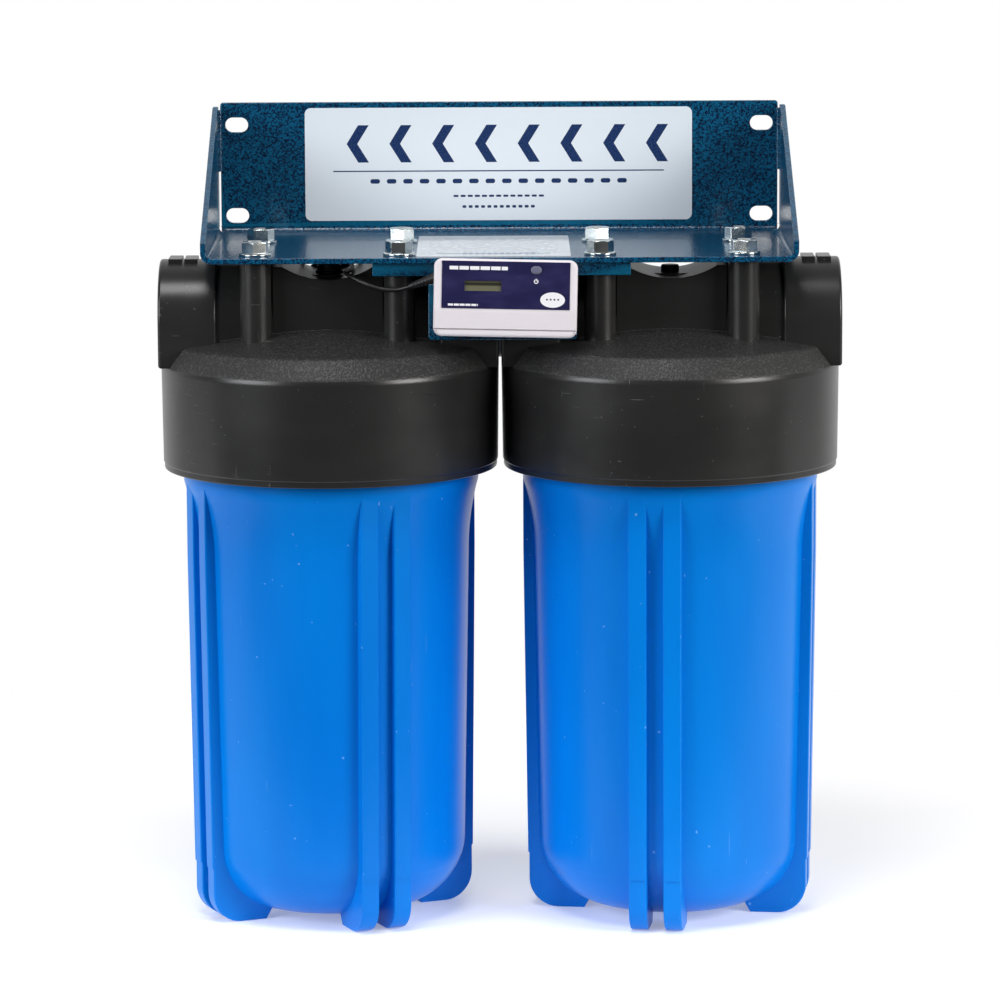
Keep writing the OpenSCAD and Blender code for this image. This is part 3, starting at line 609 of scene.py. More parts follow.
def backLabel():
    # Silver-white printed film: a row of chevrons, a rule, and rows of small dashes
    ink = (0.010, 0.030, 0.105)
    film = {"low": (0.61, 0.68, 0.745), "high": (0.71, 0.77, 0.825)}
    art = {"x": middle("back_label").x / mm, "z": middle("back_label").z / mm}
    chevrons = {"pitch": 24.0, "half": 93.0, "tall": 10.5, "stroke": 3.0, "z": 11.5, "lean": 0.62}
    board = Board("backLabelFilm", Specular_IOR_Level=0.5, Coat_Weight=0.3, Coat_Roughness=0.12)
    place = board.place()
    worldX, _, worldZ = board.axes(place)
    x = worldX - art["x"]
    z = worldZ - art["z"]
    cell = (x + chevrons["half"]).rest(chevrons["pitch"]) - chevrons["pitch"] / 2
    up = (z - chevrons["z"]).size()
    stroke = 1 - ((cell - 2.0 + (chevrons["tall"] / 2 - up) * chevrons["lean"]).size()).fade(
        chevrons["stroke"] - 0.06, chevrons["stroke"] + 0.06)
    tall = 1 - up.fade(chevrons["tall"] - 0.06, chevrons["tall"] + 0.06)
    inside = 1 - x.size().fade(chevrons["half"] + 2.9, chevrons["half"] + 3.0)
    row = stroke * tall * inside
    secondCell = (x + 74.0).rest(9.25) - 4.6
    second = roundedBox(secondCell, z, 0.0, -9.6, 5.4, 2.6, 1.2) * (1 - x.size().fade(73.0, 74.0))
    rule = roundedBox(x, z, 0.0, -3.9, 186.0, 0.7, 0.3)
    thirdCell = (x + 26.0).rest(4.0) - 2.0
    third = roundedBox(thirdCell, z, 0.0, -18.0, 2.9, 1.2, 0.5) * (1 - x.size().fade(26.0, 26.2))
    fourthCell = (x + 21.0).rest(3.5) - 1.7
    fourth = roundedBox(fourthCell, z, 0.0, -24.0, 2.2, 1.5, 0.5) * (1 - x.size().fade(20.8, 21.0))
    printed = row.most(second).most(rule).most(third).most(fourth)
    sheen = board.noise(board.stretched(place, (5.0, 5.0, 14.0)), 1.0, 2.0)
    tooth = board.noise(place, 2400.0, 2.0)
    colour = board.mix(sheen, film["low"], film["high"])
    colour = board.mix(printed, colour, ink)
    return board.use(colour, 0.30 + tooth * 0.1 - printed * 0.08, tooth * 0.2 + printed, 0.02 * mm, 0.4)


def shelfLabel():
    # White printed sheet on the shelf: rows of grey dashes, and one darker heading row
    middleX, middleY = middle("shelf_label").x / mm, middle("shelf_label").y / mm
    board = Board("shelfLabelFilm", Coat_Weight=0.6, Coat_Roughness=0.06)
    place = board.place()
    worldX, worldY, _ = board.axes(place)
    x = worldX - middleX
    y = worldY - middleY
    line = (y + 50.0).rest(6.2) - 3.1
    breaks = board.noise(board.stretched(place, (330.0, 160.0, 1.0)), 1.0, 0.0).fade(0.44, 0.47)
    dashes = (1 - line.size().fade(0.75, 0.95)) * breaks * (1 - x.size().fade(35.0, 35.3))
    dashes = dashes * (1 - y.size().fade(45.0, 45.4))
    heading = roundedBox(x, y, 0.0, -41.0, 62.0, 6.0, 1.5)
    ripple = board.noise(place, 90.0, 2.0)
    colour = board.mix(dashes * 0.55, (0.80, 0.82, 0.84), (0.28, 0.32, 0.38))
    colour = board.mix(heading * 0.7, colour, (0.05, 0.22, 0.34))
    return board.use(colour, 0.22 + ripple * 0.08, ripple, 0.12 * mm, 0.25)


def casePlastic():
    # Cool white ABS with a fine spark-eroded skin
    board = Board("casePlastic", Specular_IOR_Level=0.5)
    place = board.place()
    skin = board.noise(place, 3800.0, 2.0)
    cloud = board.noise(place, 70.0, 2.0)
    colour = board.mix(cloud, (0.70, 0.665, 0.705), (0.76, 0.72, 0.76))
    return board.use(colour, 0.34 + skin * 0.12, skin, 0.03 * mm, 0.3)


monitor = {"middle": Vector((3.0 * mm, 0, 343.4 * mm)), "lean": math.radians(7), "turn": math.radians(1.3)}
monitor["middle"].y = places["centreY"] - 47.1665 * mm
monitorTurn = Matrix.Rotation(-monitor["lean"], 3, "X") @ Matrix.Rotation(monitor["turn"], 3, "Y")
labelPlace = {"x": 0.1, "z": 6.8}


def monitorAxes(board):
    # Object coordinates turned back into the monitor's frame, in millimetres
    turnBack = board.add("ShaderNodeMapping", {"vector_type": "TEXTURE"}, {
        "Vector": board.place(), "Location": monitor["middle"], "Rotation": monitorTurn.to_euler(),
    })
    return board.axes(turnBack)


def monitorFilm():
    # Indigo face film with white bars where wording would be, a power sign and a blank badge
    tones = {"film": (0.011, 0.010, 0.056), "pale": (0.022, 0.019, 0.08), "white": (0.82, 0.82, 0.85)}
    badge = {"x": 24.9, "z": -7.4, "w": 13.1, "h": 8.1}
    sign = {"x": 16.0, "z": 2.3, "radius": 1.0, "stroke": 0.22}
    board = Board("monitorFilm", Coat_Weight=0.5, Coat_Roughness=0.05)
    mx, _, mz = monitorAxes(board)
    x = mx - labelPlace["x"]
    z = mz - labelPlace["z"]
    titleGaps = (x + 31.0).rest(5.6).fade(0.55, 0.65)
    title = roundedBox(x, z, -14.6, 8.9, 31.0, 1.9, 0.35) * titleGaps
    footGaps = (x + 31.0).rest(3.1).fade(0.35, 0.45)
    foot = roundedBox(x, z, -22.8, -10.7, 16.2, 1.1, 0.3) * footGaps
    bx = (x - badge["x"]) / (badge["w"] / 2)
    bz = (z - badge["z"]) / (badge["h"] / 2)
    oval = 1 - (bx * bx + bz * bz).fade(0.97, 1.03)
    dots = roundedBox((x - badge["x"] + 4.0).rest(2.0) - 1.0, z, 0.0, badge["z"] + 0.2, 1.0, 1.0, 0.45)
    dots = dots * (1 - (x - badge["x"]).size().fade(3.9, 4.0))
    sx, sz = x - sign["x"], z - sign["z"]
    reach = (sx * sx + sz * sz) ** 0.5
    ring = 1 - ((reach - sign["radius"]).size()).fade(sign["stroke"] - 0.05, sign["stroke"] + 0.05)
    gap = (1 - sx.size().fade(0.45, 0.5)) * sz.fade(0.0, 0.1)
    bar = roundedBox(sx, sz, 0.0, 0.75, 0.42, 1.5, 0.18)
    power = (ring * (1 - gap)).most(bar)
    scuffs = board.noise(board.stretched(board.place(), (60.0, 60.0, 150.0), (0.0, 0.7, 0.0)), 1.0, 3.0)
    colour = board.mix(scuffs.fade(0.45, 0.8), tones["film"], tones["pale"])
    white = title.most(foot).most(oval).most(power)
    colour = board.mix(white, colour, tones["white"])
    colour = board.mix(dots * oval, colour, (0.02, 0.02, 0.03))
    return board.use(colour, 0.24 + scuffs * 0.12, scuffs, 0.05 * mm, 0.2)


def displayGlass():
    # A blank reflective display: olive below, dark above with painted shadow, a pale line of glass between
    board = Board("displayGlass", Coat_Weight=1.0, Coat_Roughness=0.04)
    mz = monitorAxes(board)[2]
    z = mz - (labelPlace["z"] - 0.5)
    rows = board.noise(board.place(), 900.0, 1.0)
    # painted shadow: the glass turns dark above, where the recess's shade falls
    colour = board.mix(z.fade(-0.3, 0.5), (0.125, 0.125, 0.075), (0.018, 0.018, 0.010))
    colour = board.mix(z.fade(1.5, 1.8), colour, (0.075, 0.072, 0.045))
    return board.use(colour, 0.3 + rows * 0.1)


def rubberSkin(name, tone, pale, scale=1800.0, rough=0.55):
    board = Board(name, Specular_IOR_Level=0.45)
    grain = board.noise(board.place(), scale, 2.0, 0.6)
    cloud = board.noise(board.place(), scale / 40, 2.0)
    return board.use(board.mix(cloud, tone, pale), rough + grain * 0.12, grain, 0.05 * mm, 0.4)


def plainPlastic(name, tone, pale, rough=0.35):
    board = Board(name, Specular_IOR_Level=0.5)
    place = board.place()
    cloud = board.noise(place, 30.0, 2.0)
    skin = board.noise(place, 900.0, 2.0)
    return board.use(board.mix(cloud, tone, pale), rough + skin * 0.1, skin, 0.03 * mm, 0.3)


def hookFabric():
    # The loop-and-hook pad: short dark pile
    board = Board("hookFabric", Sheen_Weight=0.4, Sheen_Roughness=0.5)
    place = board.place()
    pile = board.cells(place, 1400.0)
    fuzz = board.noise(place, 4200.0, 3.0, 0.7)
    colour = board.mix(pile, (0.02, 0.02, 0.022), (0.006, 0.006, 0.007))
    return board.use(colour, 0.85, pile + fuzz * 0.5, 0.5 * mm, 0.8)


def boardMask():
    # Green solder mask with fine copper tracks under it
    board = Board("boardMask", Coat_Weight=0.4, Coat_Roughness=0.1)
    place = board.place()
    tracks = board.cells(place, 420.0, "DISTANCE_TO_EDGE").fade(0.04, 0.07)
    colour = board.mix(tracks, (0.05, 0.22, 0.08), (0.012, 0.10, 0.035))
    return board.use(colour, 0.35, 1 - tracks, 0.04 * mm, 0.4)


def carbonBlock():
    # Pressed carbon behind the sleeve: dark, matt and gritty
    board = Board("carbonBlock")
    place = board.place()
    grit = board.cells(place, 900.0)
    return board.use(board.mix(grit, (0.010, 0.010, 0.011), (0.035, 0.034, 0.032)), 0.8, grit, 0.4 * mm, 0.7)


def sleeveNet():
    # White netting over the cartridge: crossing strands
    board = Board("sleeveNet")
    place = board.place()
    x, y, z = board.axes(place)
    around = (x + y) * 0.7
    strands = ((around + z) * 1.4).wave().size().most(((around - z) * 1.4).wave().size())
    colour = board.mix(strands.fade(0.6, 0.95), (0.55, 0.55, 0.53), (0.84, 0.84, 0.82))
    return board.use(colour, 0.6, strands, 0.5 * mm, 0.7)


finishes = {
    "cap_plastic": capPlastic(),
    "sump_plastic": sumpPlastic(),
    "bracket_paint": hammertone(),
    "zinc_bolt": zincPlate(),
    "screw_steel": plainSteel(),
    "back_label": backLabel(),
    "shelf_label": shelfLabel(),
    "case_plastic": casePlastic(),
    "label_film": monitorFilm(),
    "display": displayGlass(),
    "pad_fabric": hookFabric(),
    "board": boardMask(),
    "contact_brass": brassContact(),
    "filter_media": carbonBlock(),
    "sleeve_plastic": sleeveNet(),
    "button_rubber": rubberSkin("buttonRubber", (0.10, 0.10, 0.17), (0.14, 0.14, 0.21), 1500.0, 0.42),
    "cable_pvc": rubberSkin("cablePvc", (0.003, 0.003, 0.0035), (0.006, 0.006, 0.0065), 1600.0, 0.4),
    "seal_rubber": rubberSkin("sealRubber", (0.007, 0.007, 0.007), (0.016, 0.016, 0.016), 900.0, 0.5),
    "gasket_rubber": rubberSkin("gasketRubber", (0.55, 0.55, 0.53), (0.66, 0.66, 0.63), 700.0, 0.6),
    "switch_plastic": plainPlastic("switchPlastic", (0.012, 0.012, 0.013), (0.02, 0.02, 0.021)),
    "nipple_plastic": plainPlastic("nipplePlastic", (0.008, 0.008, 0.009), (0.014, 0.014, 0.015)),
    "probe_plastic": plainPlastic("probePlastic", (0.014, 0.014, 0.016), (0.022, 0.022, 0.024)),
    "valve_plastic": plainPlastic("valvePlastic", (0.008, 0.008, 0.009), (0.014, 0.014, 0.015), 0.28),
    "tie_nylon": plainPlastic("tieNylon", (0.62, 0.60, 0.54), (0.72, 0.70, 0.64), 0.4),
    "core_plastic": plainPlastic("corePlastic", (0.68, 0.68, 0.64), (0.76, 0.76, 0.72), 0.45),
    "end_cap_plastic": plainPlastic("endCapPlastic", (0.02, 0.07, 0.34), (0.03, 0.10, 0.42), 0.38),
}
finishes["cell_steel"] = finishes["probe_steel"] = finishes["spring_steel"] = finishes["screw_steel"]

slotOf = {s["node"]: s["material_slot"] for s in frame["record"]["subparts"]}
for nodeName, node in frame["nodes"].items():
    node.data.materials.clear()
    node.data.materials.append(finishes[slotOf[nodeName]])
print("finishes are on the CAD nodes")


# The sensor's cable: out of the case, over the cap's notch, round a slack coil, to the probe
def smoothRoute(points, steps):                 # a smooth line through every point
    line = []
    for i in range(len(points) - 1):
        a, b = points[max(i - 1, 0)], points[i]
        c, d = points[i + 1], points[min(i + 2, len(points) - 1)]
        for step in range(steps):
            t = step / steps
            bend = 2 * a - 5 * b + 4 * c - d
            line.append(0.5 * (2 * b + (c - a) * t + bend * t * t + (3 * b - a - 3 * c + d) * t ** 3))
    return line + [points[-1]]


cable = {
    "diameter": 2.4 * mm,
    "steps": 4,
    "lead": [
        (-48.2, -51.9, 350.5), (-55, -48.8, 348.6), (-63, -47, 348.7), (-71, -45.5, 351),
        (-78, -41.5, 354), (-82.5, -35, 355.9), (-83, -27, 356), (-81.5, -16, 355.4),
        (-80.5, -4, 355.2), (-80.5, 8, 355.2), (-80.8, 17, 355.8), (-79.6, 25, 356.6),
        (-77.4, 33, 355.9), (-75.6, 39, 351.8), (-75.3, 42.4, 346.8), (-76.5, 42.5, 342.7),
    ],
    "tail": [
        (-107.6, 43.2, 347.5), (-108.6, 41.5, 352.5), (-107.8, 36, 356), (-105.5, 30, 357.4),
        (-101.5, 24, 357.6), (-96.8, 17.5, 357.4), (-93.4, 12, 356.9), (-92.7, 6.75, 356.7),
    ],
}
coil = {
    "centre": (-92.7, 33.6, 341.1),
    "tilt": math.radians(-80),
    "stepsPerTurn": 24,
    # degrees round the coil, radius and height above its bed; it winds in, out and in again
    "stages": [
        (62, 16.6, 1.25), (782, 11.6, 1.25), (852, 11.9, 3.7), (1260, 14.75, 3.7),
        (1330, 14.6, 6.15), (1590, 12.8, 6.15), (1620, 12.7, 7.2),
    ],
}
coilTurn = Matrix.Rotation(coil["tilt"], 3, "X")
coilPath = []
for start, end in zip(coil["stages"], coil["stages"][1:]):
    steps = max(2, round((end[0] - start[0]) / 360 * coil["stepsPerTurn"]))
    for step in range(steps):
        t = step / steps
        angle = math.radians(start[0] + (end[0] - start[0]) * t)
        ease = t * t * (3 - 2 * t) if start[2] != end[2] else t
        radius = start[1] + (end[1] - start[1]) * t
        height = start[2] + (end[2] - start[2]) * ease
        spot = coilTurn @ Vector((radius * math.cos(angle), radius * math.sin(angle), height))
        coilPath.append(Vector(coil["centre"]) + spot)
landing = coilTurn @ Vector((16.3 * math.cos(0.5), 16.3 * math.sin(0.5), 4.6))
leadLine = smoothRoute(
    [Vector(p) for p in cable["lead"]] + [Vector(coil["centre"]) + landing, coilPath[0]], cable["steps"],
)
tailLine = smoothRoute([coilPath[-1]] + [Vector(p) for p in cable["tail"]], cable["steps"])
cableLine = [onLine(*p) for p in leadLine[:-1] + coilPath[:-1] + tailLine]
sensorCable = tube("sensorCable", cableLine, cable["diameter"] / 2, sides=4)
finishPiece(sensorCable, "frame", "cable_pvc", "sensor_cable", "cable_coil", "cable_tail")

cableTie = softEdges(solidCopy("cable_tie", "cableTie"), 0.2 * mm)
finishPiece(smoothed(cableTie), "frame", "tie_nylon", "cable_tie")

sleeve = {"start": (-35, -59.6, 355.9), "end": (-48, -52, 350.6), "root": 2.7, "tip": 1.75, "ribs": 6}
sleeveLine = onLine(*sleeve["end"]) - onLine(*sleeve["start"])
sleeveLength = sleeveLine.length / mm
sleeveProfile = [(0, -2), (2.8, -2), (2.8, 0.4)]
for i in range(sleeve["ribs"]):
    low = 1.2 + i * (sleeveLength - 2.4) / sleeve["ribs"]
    width = sleeve["root"] + (sleeve["tip"] - sleeve["root"]) * low / sleeveLength
    sleeveProfile += [(width, low), (width, low + 1.3), (width - 0.45, low + 1.5), (width - 0.45, low + 1.95)]
sleeveProfile += [(sleeve["tip"], sleeveLength - 0.3), (1.35, sleeveLength), (0, sleeveLength)]
strainSleeve = turned("strainSleeve", sleeveProfile, steps=40)
strainSleeve.rotation_euler = sleeveLine.to_track_quat("Z", "Y").to_euler()
strainSleeve.location = onLine(*sleeve["start"])
settle(strainSleeve)
finishPiece(smoothed(strainSleeve), "frame", "cable_pvc", "cable_sleeve")


# Thread ridges, as a rod wound round the upright axis
def ridge(name, radius, thickness, pitch, low, high, shift=0.0, steps=72):     # in millimetres
    path, thick = [], []
    turns = (high - low) / pitch
    count = round(turns * steps)
    for i in range(count + 1):
        angle = 2 * math.pi * (i / steps) + shift
        across = Vector((math.cos(angle), math.sin(angle), 0)) * radius
        path.append((across + Vector((0, 0, low + pitch * i / steps))) * mm)
        thick.append(min(1.0, i / 12 + 0.1, (count - i) / 12 + 0.1))
    piece = tube(name, path, thickness * mm, sides=1)
    for spot, share in zip(piece.data.splines[0].points, thick):
        spot.radius = share
    return madeMesh(piece)


# Caps
capShape = {
    "skirtTop": 304.0, "shoulder": (84.0, 315.2), "slope": 0.167,
    "bore": 82.0, "ceiling": 301.0, "dome": 309.0, "nipple": (24.0, 13.0),
    "collar": {"radius": 32.0, "from": 60.3, "bevel": 1.6},
    "neck": {"radius": 29.9, "from": 29.0, "to": 63.0, "bevel": 0.4},
    "block": {"half": 30.0, "top": 359.0, "notch": (398.0, 46.0), "bevel": 0.7},
    "turret": {"radius": 15.5, "top": 353.0},
    "post": {"x": 38.7, "y": 34.5, "radius": 8.4, "root": 312.5, "socket": (4.05, 23.0)},
    "marks": [(4.9, 7.4), (13.6, 7.0)],          # from the collar's end, and how long
    "markWide": 20.0, "markHigh": 1.0,
    "port": {"bore": 22.2, "depth": 26.0, "waterway": 15.0, "pitch": 2.2},
    "channel": {"from": 48.0, "to": 80.0, "drop": 11.0, "low": 305.0},    # in, and down past the turret
    "thread": {"radius": 81.4, "thick": 1.4, "low": 256.0, "high": 286.0},
}
rim = places["capRim"] / mm
portZ = places["portHeight"] / mm
outer = capRadius / mm


def capShell():
    dome = capShape["shoulder"][1] + capShape["shoulder"][0] * capShape["slope"]
    nippleOut, nippleIn = capShape["nipple"]
    bore, ceiling = capShape["bore"], capShape["ceiling"]
    foot = places["cartridgeTop"] / mm + 0.1
    return turned("capShell", rounded([
        (0, dome), (*capShape["shoulder"], 1.5), (outer, capShape["skirtTop"], 2.4),
        (outer - 0.62, rim + 3.9, 0.25), (outer - 1.15, rim + 3.4, 0.25), (outer - 1.15, rim, 0.9),
        (bore, rim, 0.5), (bore, ceiling, 0.6), (70, ceiling, 0.8), (64, capShape["dome"], 1.5),
        (nippleOut, capShape["dome"], 1.5), (nippleOut, foot, 0.6), (nippleIn, foot, 0.5),
        (nippleIn, portZ - 3), (0, portZ - 3),
    ]), steps=144)


def boss(name, part, low, high):                # round-topped, its sides straight down to the shoulder
    outline = arc(0, portZ, part["radius"], 0, 180, 48)
    outline += [(-part["radius"], capShape["skirtTop"] + 0.5), (part["radius"], capShape["skirtTop"] + 0.5)]
    return flatShape(name, outline, high - low, part["bevel"], (90, 0, 90), ((low + high) / 2 * mm, 0, 0))


def capBlock():
    block = capShape["block"]
    notchZ, notchR = block["notch"]
    reach = math.degrees(math.asin((notchZ - block["top"]) / notchR))
    outline = [(-block["half"], 309.5), (block["half"], 309.5), (block["half"], block["top"])]
    outline += arc(0, notchZ, notchR, -reach, -180 + reach, 36) + [(-block["half"], block["top"])]
    return flatShape("capBlock", outline, 2 * block["half"], block["bevel"], (90, 0, 0))


def capMark(offset, length, side):
    clearSelection()
    x = side * (outer - offset - length / 2)
    top = portZ + capShape["collar"]["radius"]
    bpy.ops.mesh.primitive_cube_add(size=mm, location=(x * mm, 0, (top - 0.5) * mm), enter_editmode=True)
    mark = bpy.context.object
    bpy.ops.transform.resize(value=(length, capShape["markWide"], 2 * capShape["markHigh"] + 1))
    bpy.ops.mesh.bevel(offset=0.35 * mm, segments=2, affect="EDGES")
    bpy.ops.object.mode_set(mode="OBJECT")
    return settle(mark)


def capPost(x, y, top):
    post = capShape["post"]
    socket, deep = post["socket"]
    profile = rounded([
        (0, post["root"]), (post["radius"], post["root"]), (post["radius"], top, 0.5),
        (socket + 0.5, top), (socket, top - 0.5), (socket, top - deep), (0, top - deep),
    ])
    return turned("capPost", profile, (x * mm, y * mm, 0), 48)


def drill(piece, radius, start, end):           # a round hole from one (x, z) to another, in millimetres
    ends = [(x * mm, 0, z * mm) for x, z in (start, end)]
    combine(piece, rod("drill", radius * mm, *ends), "DIFFERENCE")


def capBody():
    body = capShell()
    neck, collar, port = capShape["neck"], capShape["collar"], capShape["port"]
    for side in (-1, 1):
        combine(body, boss("neck", neck, *sorted((side * neck["from"], side * neck["to"]))))
        combine(body, boss("collar", collar, *sorted((side * collar["from"], side * outer))))
        for offset, length in capShape["marks"]:
            combine(body, capMark(offset, length, side))
    combine(body, capBlock())
    turret = capShape["turret"]
    combine(body, turned("turret", rounded([
        (0, 312), (turret["radius"], 312), (turret["radius"], turret["top"], 0.6), (0, turret["top"]),
    ]), steps=64))
    for side in (-1, 1):
        drill(body, port["bore"], (side * (outer - port["depth"]), portZ), (side * (outer + 2), portZ))
    channel = capShape["channel"]
    drill(body, port["waterway"], (-channel["to"], portZ), (0, portZ))
    drill(body, port["waterway"], (channel["from"], portZ), (channel["to"], portZ))
    drill(body, channel["drop"], (channel["from"], channel["low"]), (channel["from"], portZ))
    return body


def footLine(sign):                             # a soft bead where the block and necks meet the dome
    top, slope = capShape["shoulder"][1] + capShape["shoulder"][0] * capShape["slope"], capShape["slope"]
    block, neck = capShape["block"]["half"] + 0.2, capShape["neck"]["radius"] + 0.2
    steps = [(-58, neck), (-block - 6, neck), (-block, neck), (-block, block), (-block / 2, block)]
    steps += [(0, block)] + [(-x, y) for x, y in reversed(steps)]
    path = []
    for x, y in steps:
        path.append(Vector((x * mm, sign * y * mm, (top - slope * math.hypot(x, y) + 0.1) * mm)))
    return madeMesh(tube("footLine", path, 1.0 * mm))


def capRidges(name):
    # The cap's own thread, half a pitch off the sump's, and the pipe threads in the ports
    thread, port = capShape["thread"], capShape["port"]
    pieces = [ridge(name, thread["radius"], thread["thick"], places["threadLead"] / mm,
                    thread["low"], thread["high"], math.pi)]
    for side in (-1, 1):
        pipe = ridge("portThread", port["bore"] + 0.15, 0.75, port["pitch"],
                     outer - port["depth"] + 1.5, outer - 1.5, steps=40)
        pipe.rotation_euler = (0, side * math.pi / 2, 0)
        pipe.location = (0, 0, portZ * mm)
        pieces.append(settle(pipe))
    return pieces


baseCap = capBody()
for side, sign in (("left", -1), ("right", 1)):
    piece = copied(baseCap, side + "CapHousing")
    post = capShape["post"]
    for x in (-1, 1):
        for y in (-1, 1):
            low = 2.0 if x == -sign and y == -1 else 0.0       # the monitor's bracket sits on this one
            combine(piece, capPost(x * post["x"], y * post["y"], places["postTop"] / mm - low))
    if side == "left":
        drill(piece, 5, (0, portZ), (0, 360))               # for the probe
    else:
        drill(piece, 5, (0, 346.6), (0, 360))               # for the relief button's head
        drill(piece, 5.6, (0, portZ), (0, 344))             # for its seal
        drill(piece, 2.6, (0, 340), (0, 350))               # for its stem
    cleaned(piece, outward=False)
    piece = joined(side + "CapHousing", [piece, footLine(-1), footLine(1)] + capRidges("capThread"))
    moved(piece, (places["housingX"][side], places["centreY"], 0))
    finishPiece(smoothed(piece, 30), "frame", "cap_plastic", side + "_cap")
bpy.data.objects.remove(baseCap)
print("caps are made")


# Sumps
sumpShape = {
    "ribTurn": {"left": math.radians(23.4), "right": math.radians(-7.9)},
    "ribWide": 9.8, "ribPitch": 18.8, "ribBevel": 0.9, "ribTop": 246.0,
    "seam": 30.3, "ribReach": {"low": 76.6, "seam": 77.3, "top": 79.35}, "ribFoot": 16.0,
    "floor": 4.5, "inside": 9.5, "corner": 37.0, "wall": 4.5,
    "low": 72.0, "mid": 75.0, "top": 80.5, "flare": (200.0, 40.0),
    "neck": (79.0, 70.4), "rimTop": 300.0, "groove": (72.6, 77.9, 4.25),
    "seat": (20.0, 24.0, 15.9), "spigot": (13.0, 23.5),
    "thread": {"radius": 79.5, "thick": 1.4, "low": 262.0, "high": 292.0},
}


def sumpShell(name):
    shape = sumpShape
    flareZ, flareH = shape["flare"]
    rise = shape["top"] - shape["mid"]
    flareR = (flareH ** 2 + rise ** 2) / (2 * rise)
    flareEnd = math.degrees(math.asin(flareH / flareR))
    cornerX = shape["low"] - shape["corner"]
    cornerZ = shape["floor"] + shape["corner"]
    grooveIn, grooveOut, grooveDeep = shape["groove"]
    neckOut, neckIn = shape["neck"]
    stop = rim + 1.8
    top = shape["rimTop"]
    profile = [(0, shape["floor"])] + arc(cornerX, cornerZ, shape["corner"], -90, -18, 14)
    seamAngle = math.degrees(math.asin((shape["seam"] - cornerZ) / shape["corner"]))
    profile += [(x + 0.12, z) for x, z in arc(cornerX, cornerZ, shape["corner"], seamAngle, 0, 4)]
    profile += arc(shape["mid"] + flareR, flareZ, flareR, 180, 180 - flareEnd, 12)
    profile += rounded([
        (shape["top"], stop - 6), (shape["top"], stop, 0.8), (neckOut, stop, 0.5), (neckOut, top, 1.0),
        (grooveOut, top, 0.2), (grooveOut, top - grooveDeep), (grooveIn, top - grooveDeep),
        (grooveIn, top, 0.2), (neckIn, top, 0.3), (neckIn, flareZ, 3.0),
        (shape["low"] - shape["wall"], cornerZ + 1),
    ])
    profile += arc(cornerX, cornerZ, shape["corner"] - shape["wall"], 0, -81, 12)
    seatIn, seatOut, seatZ = shape["seat"]
    spigotR, spigotZ = shape["spigot"]
    profile += rounded([
        (seatOut, shape["inside"] + 0.1), (seatOut, seatZ, 0.4), (seatIn, seatZ, 0.4),
        (seatIn, shape["inside"]), (spigotR, shape["inside"]), (spigotR, spigotZ, 1.0), (0, spigotZ),
    ])
    return turned(name, profile, steps=144)


def sumpRib():
    # A flat plate standing out of the wall, its foot turned under; it steps in below the seam
    shape = sumpShape
    cornerX = shape["low"] - shape["corner"]
    cornerZ = shape["floor"] + shape["corner"]
    lowX, seamX, topX = shape["ribReach"].values()
    foot = arc(lowX - shape["ribFoot"], shape["ribFoot"], shape["ribFoot"], -90, 0, 10)
    inner = arc(cornerX, cornerZ, shape["corner"] - 2.2, -70, 0, 8)
    flareZ = shape["flare"][0]
    outline = [
        (46, 0), *foot, (lowX, shape["seam"] - 0.05), (seamX - 0.1, shape["seam"] + 0.1),
        (seamX, shape["seam"] + 2), (topX, flareZ), (topX, shape["ribTop"]),
        (73.5, shape["ribTop"]), (72.4, flareZ), *reversed(inner), (42, 6.8),
    ]
    return flatShape("rib", outline, shape["ribWide"], shape["ribBevel"], (90, 0, 0))


baseRib = sumpRib()
baseSump = sumpShell("baseSump")
for side in ("left", "right"):
    piece = copied(baseSump, side + "SumpBowl")
    for quarter in range(4):
        for offset in (-0.5, 0.5):
            rib = copied(baseRib, "rib")
            moved(rib, (0, offset * sumpShape["ribPitch"] * mm, 0))
            moved(rib, turn=sumpShape["ribTurn"][side] + math.radians(90 * quarter - 90))
            combine(piece, rib)
    cleaned(piece, outward=False)
    thread = sumpShape["thread"]
    winding = ridge("sumpThread", thread["radius"], thread["thick"], places["threadLead"] / mm,
                    thread["low"], thread["high"])
    piece = joined(side + "SumpBowl", [piece, winding])
    moved(piece, (places["housingX"][side], places["centreY"], 0))
    finishPiece(smoothed(piece, 28), side + "_bowl", "sump_plastic", side + "_sump")
bpy.data.objects.remove(baseRib)
bpy.data.objects.remove(baseSump)
print("sumps are made")


# Bolts
boltShape = {"flange": 8.9, "flat": 13.0, "high": 8.0, "shank": 4.0, "deep": 25.0, "dimple": 3.6}


def flangeBolt():
    shape = boltShape
    body = turned("bolt", rounded([
        (0, -shape["deep"]), (shape["shank"], -shape["deep"], 0.6), (shape["shank"], 0),
        (shape["flange"] - 0.3, 0, 0.2), (shape["flange"], 1.3, 0.4), (shape["flange"] - 1.6, 1.9, 0.4),
        (0, 2.1),
    ]), steps=64)
    clearSelection()
    across = shape["flat"] / 2 / math.cos(math.pi / 6)
    bpy.ops.mesh.primitive_cylinder_add(
        vertices=6, radius=across * mm, depth=(shape["high"] - 0.6) * mm,
        location=(0, 0, (shape["high"] + 0.6) / 2 * mm), rotation=(0, 0, math.pi / 6),
    )
    head = bpy.context.object
    settle(head)
    rimR = shape["flat"] / 2 - 0.35
    chamfer = turned("chamfer", [
        (0, 0), (9, 0), (9, shape["high"] - (9 - rimR) * 0.577), (rimR, shape["high"]), (0, shape["high"]),
    ], steps=64)
    combine(head, chamfer, "INTERSECT")
    dimple = turned("dimple", [
        (0, shape["high"] - 0.7), (shape["dimple"], shape["high"] - 0.5),
        (shape["dimple"] + 0.8, shape["high"] + 0.2), (0, shape["high"] + 0.2),
    ], steps=48)
    combine(head, dimple, "DIFFERENCE")
    softEdges(head, 0.25 * mm, 2, 30)
    return combine(body, head)


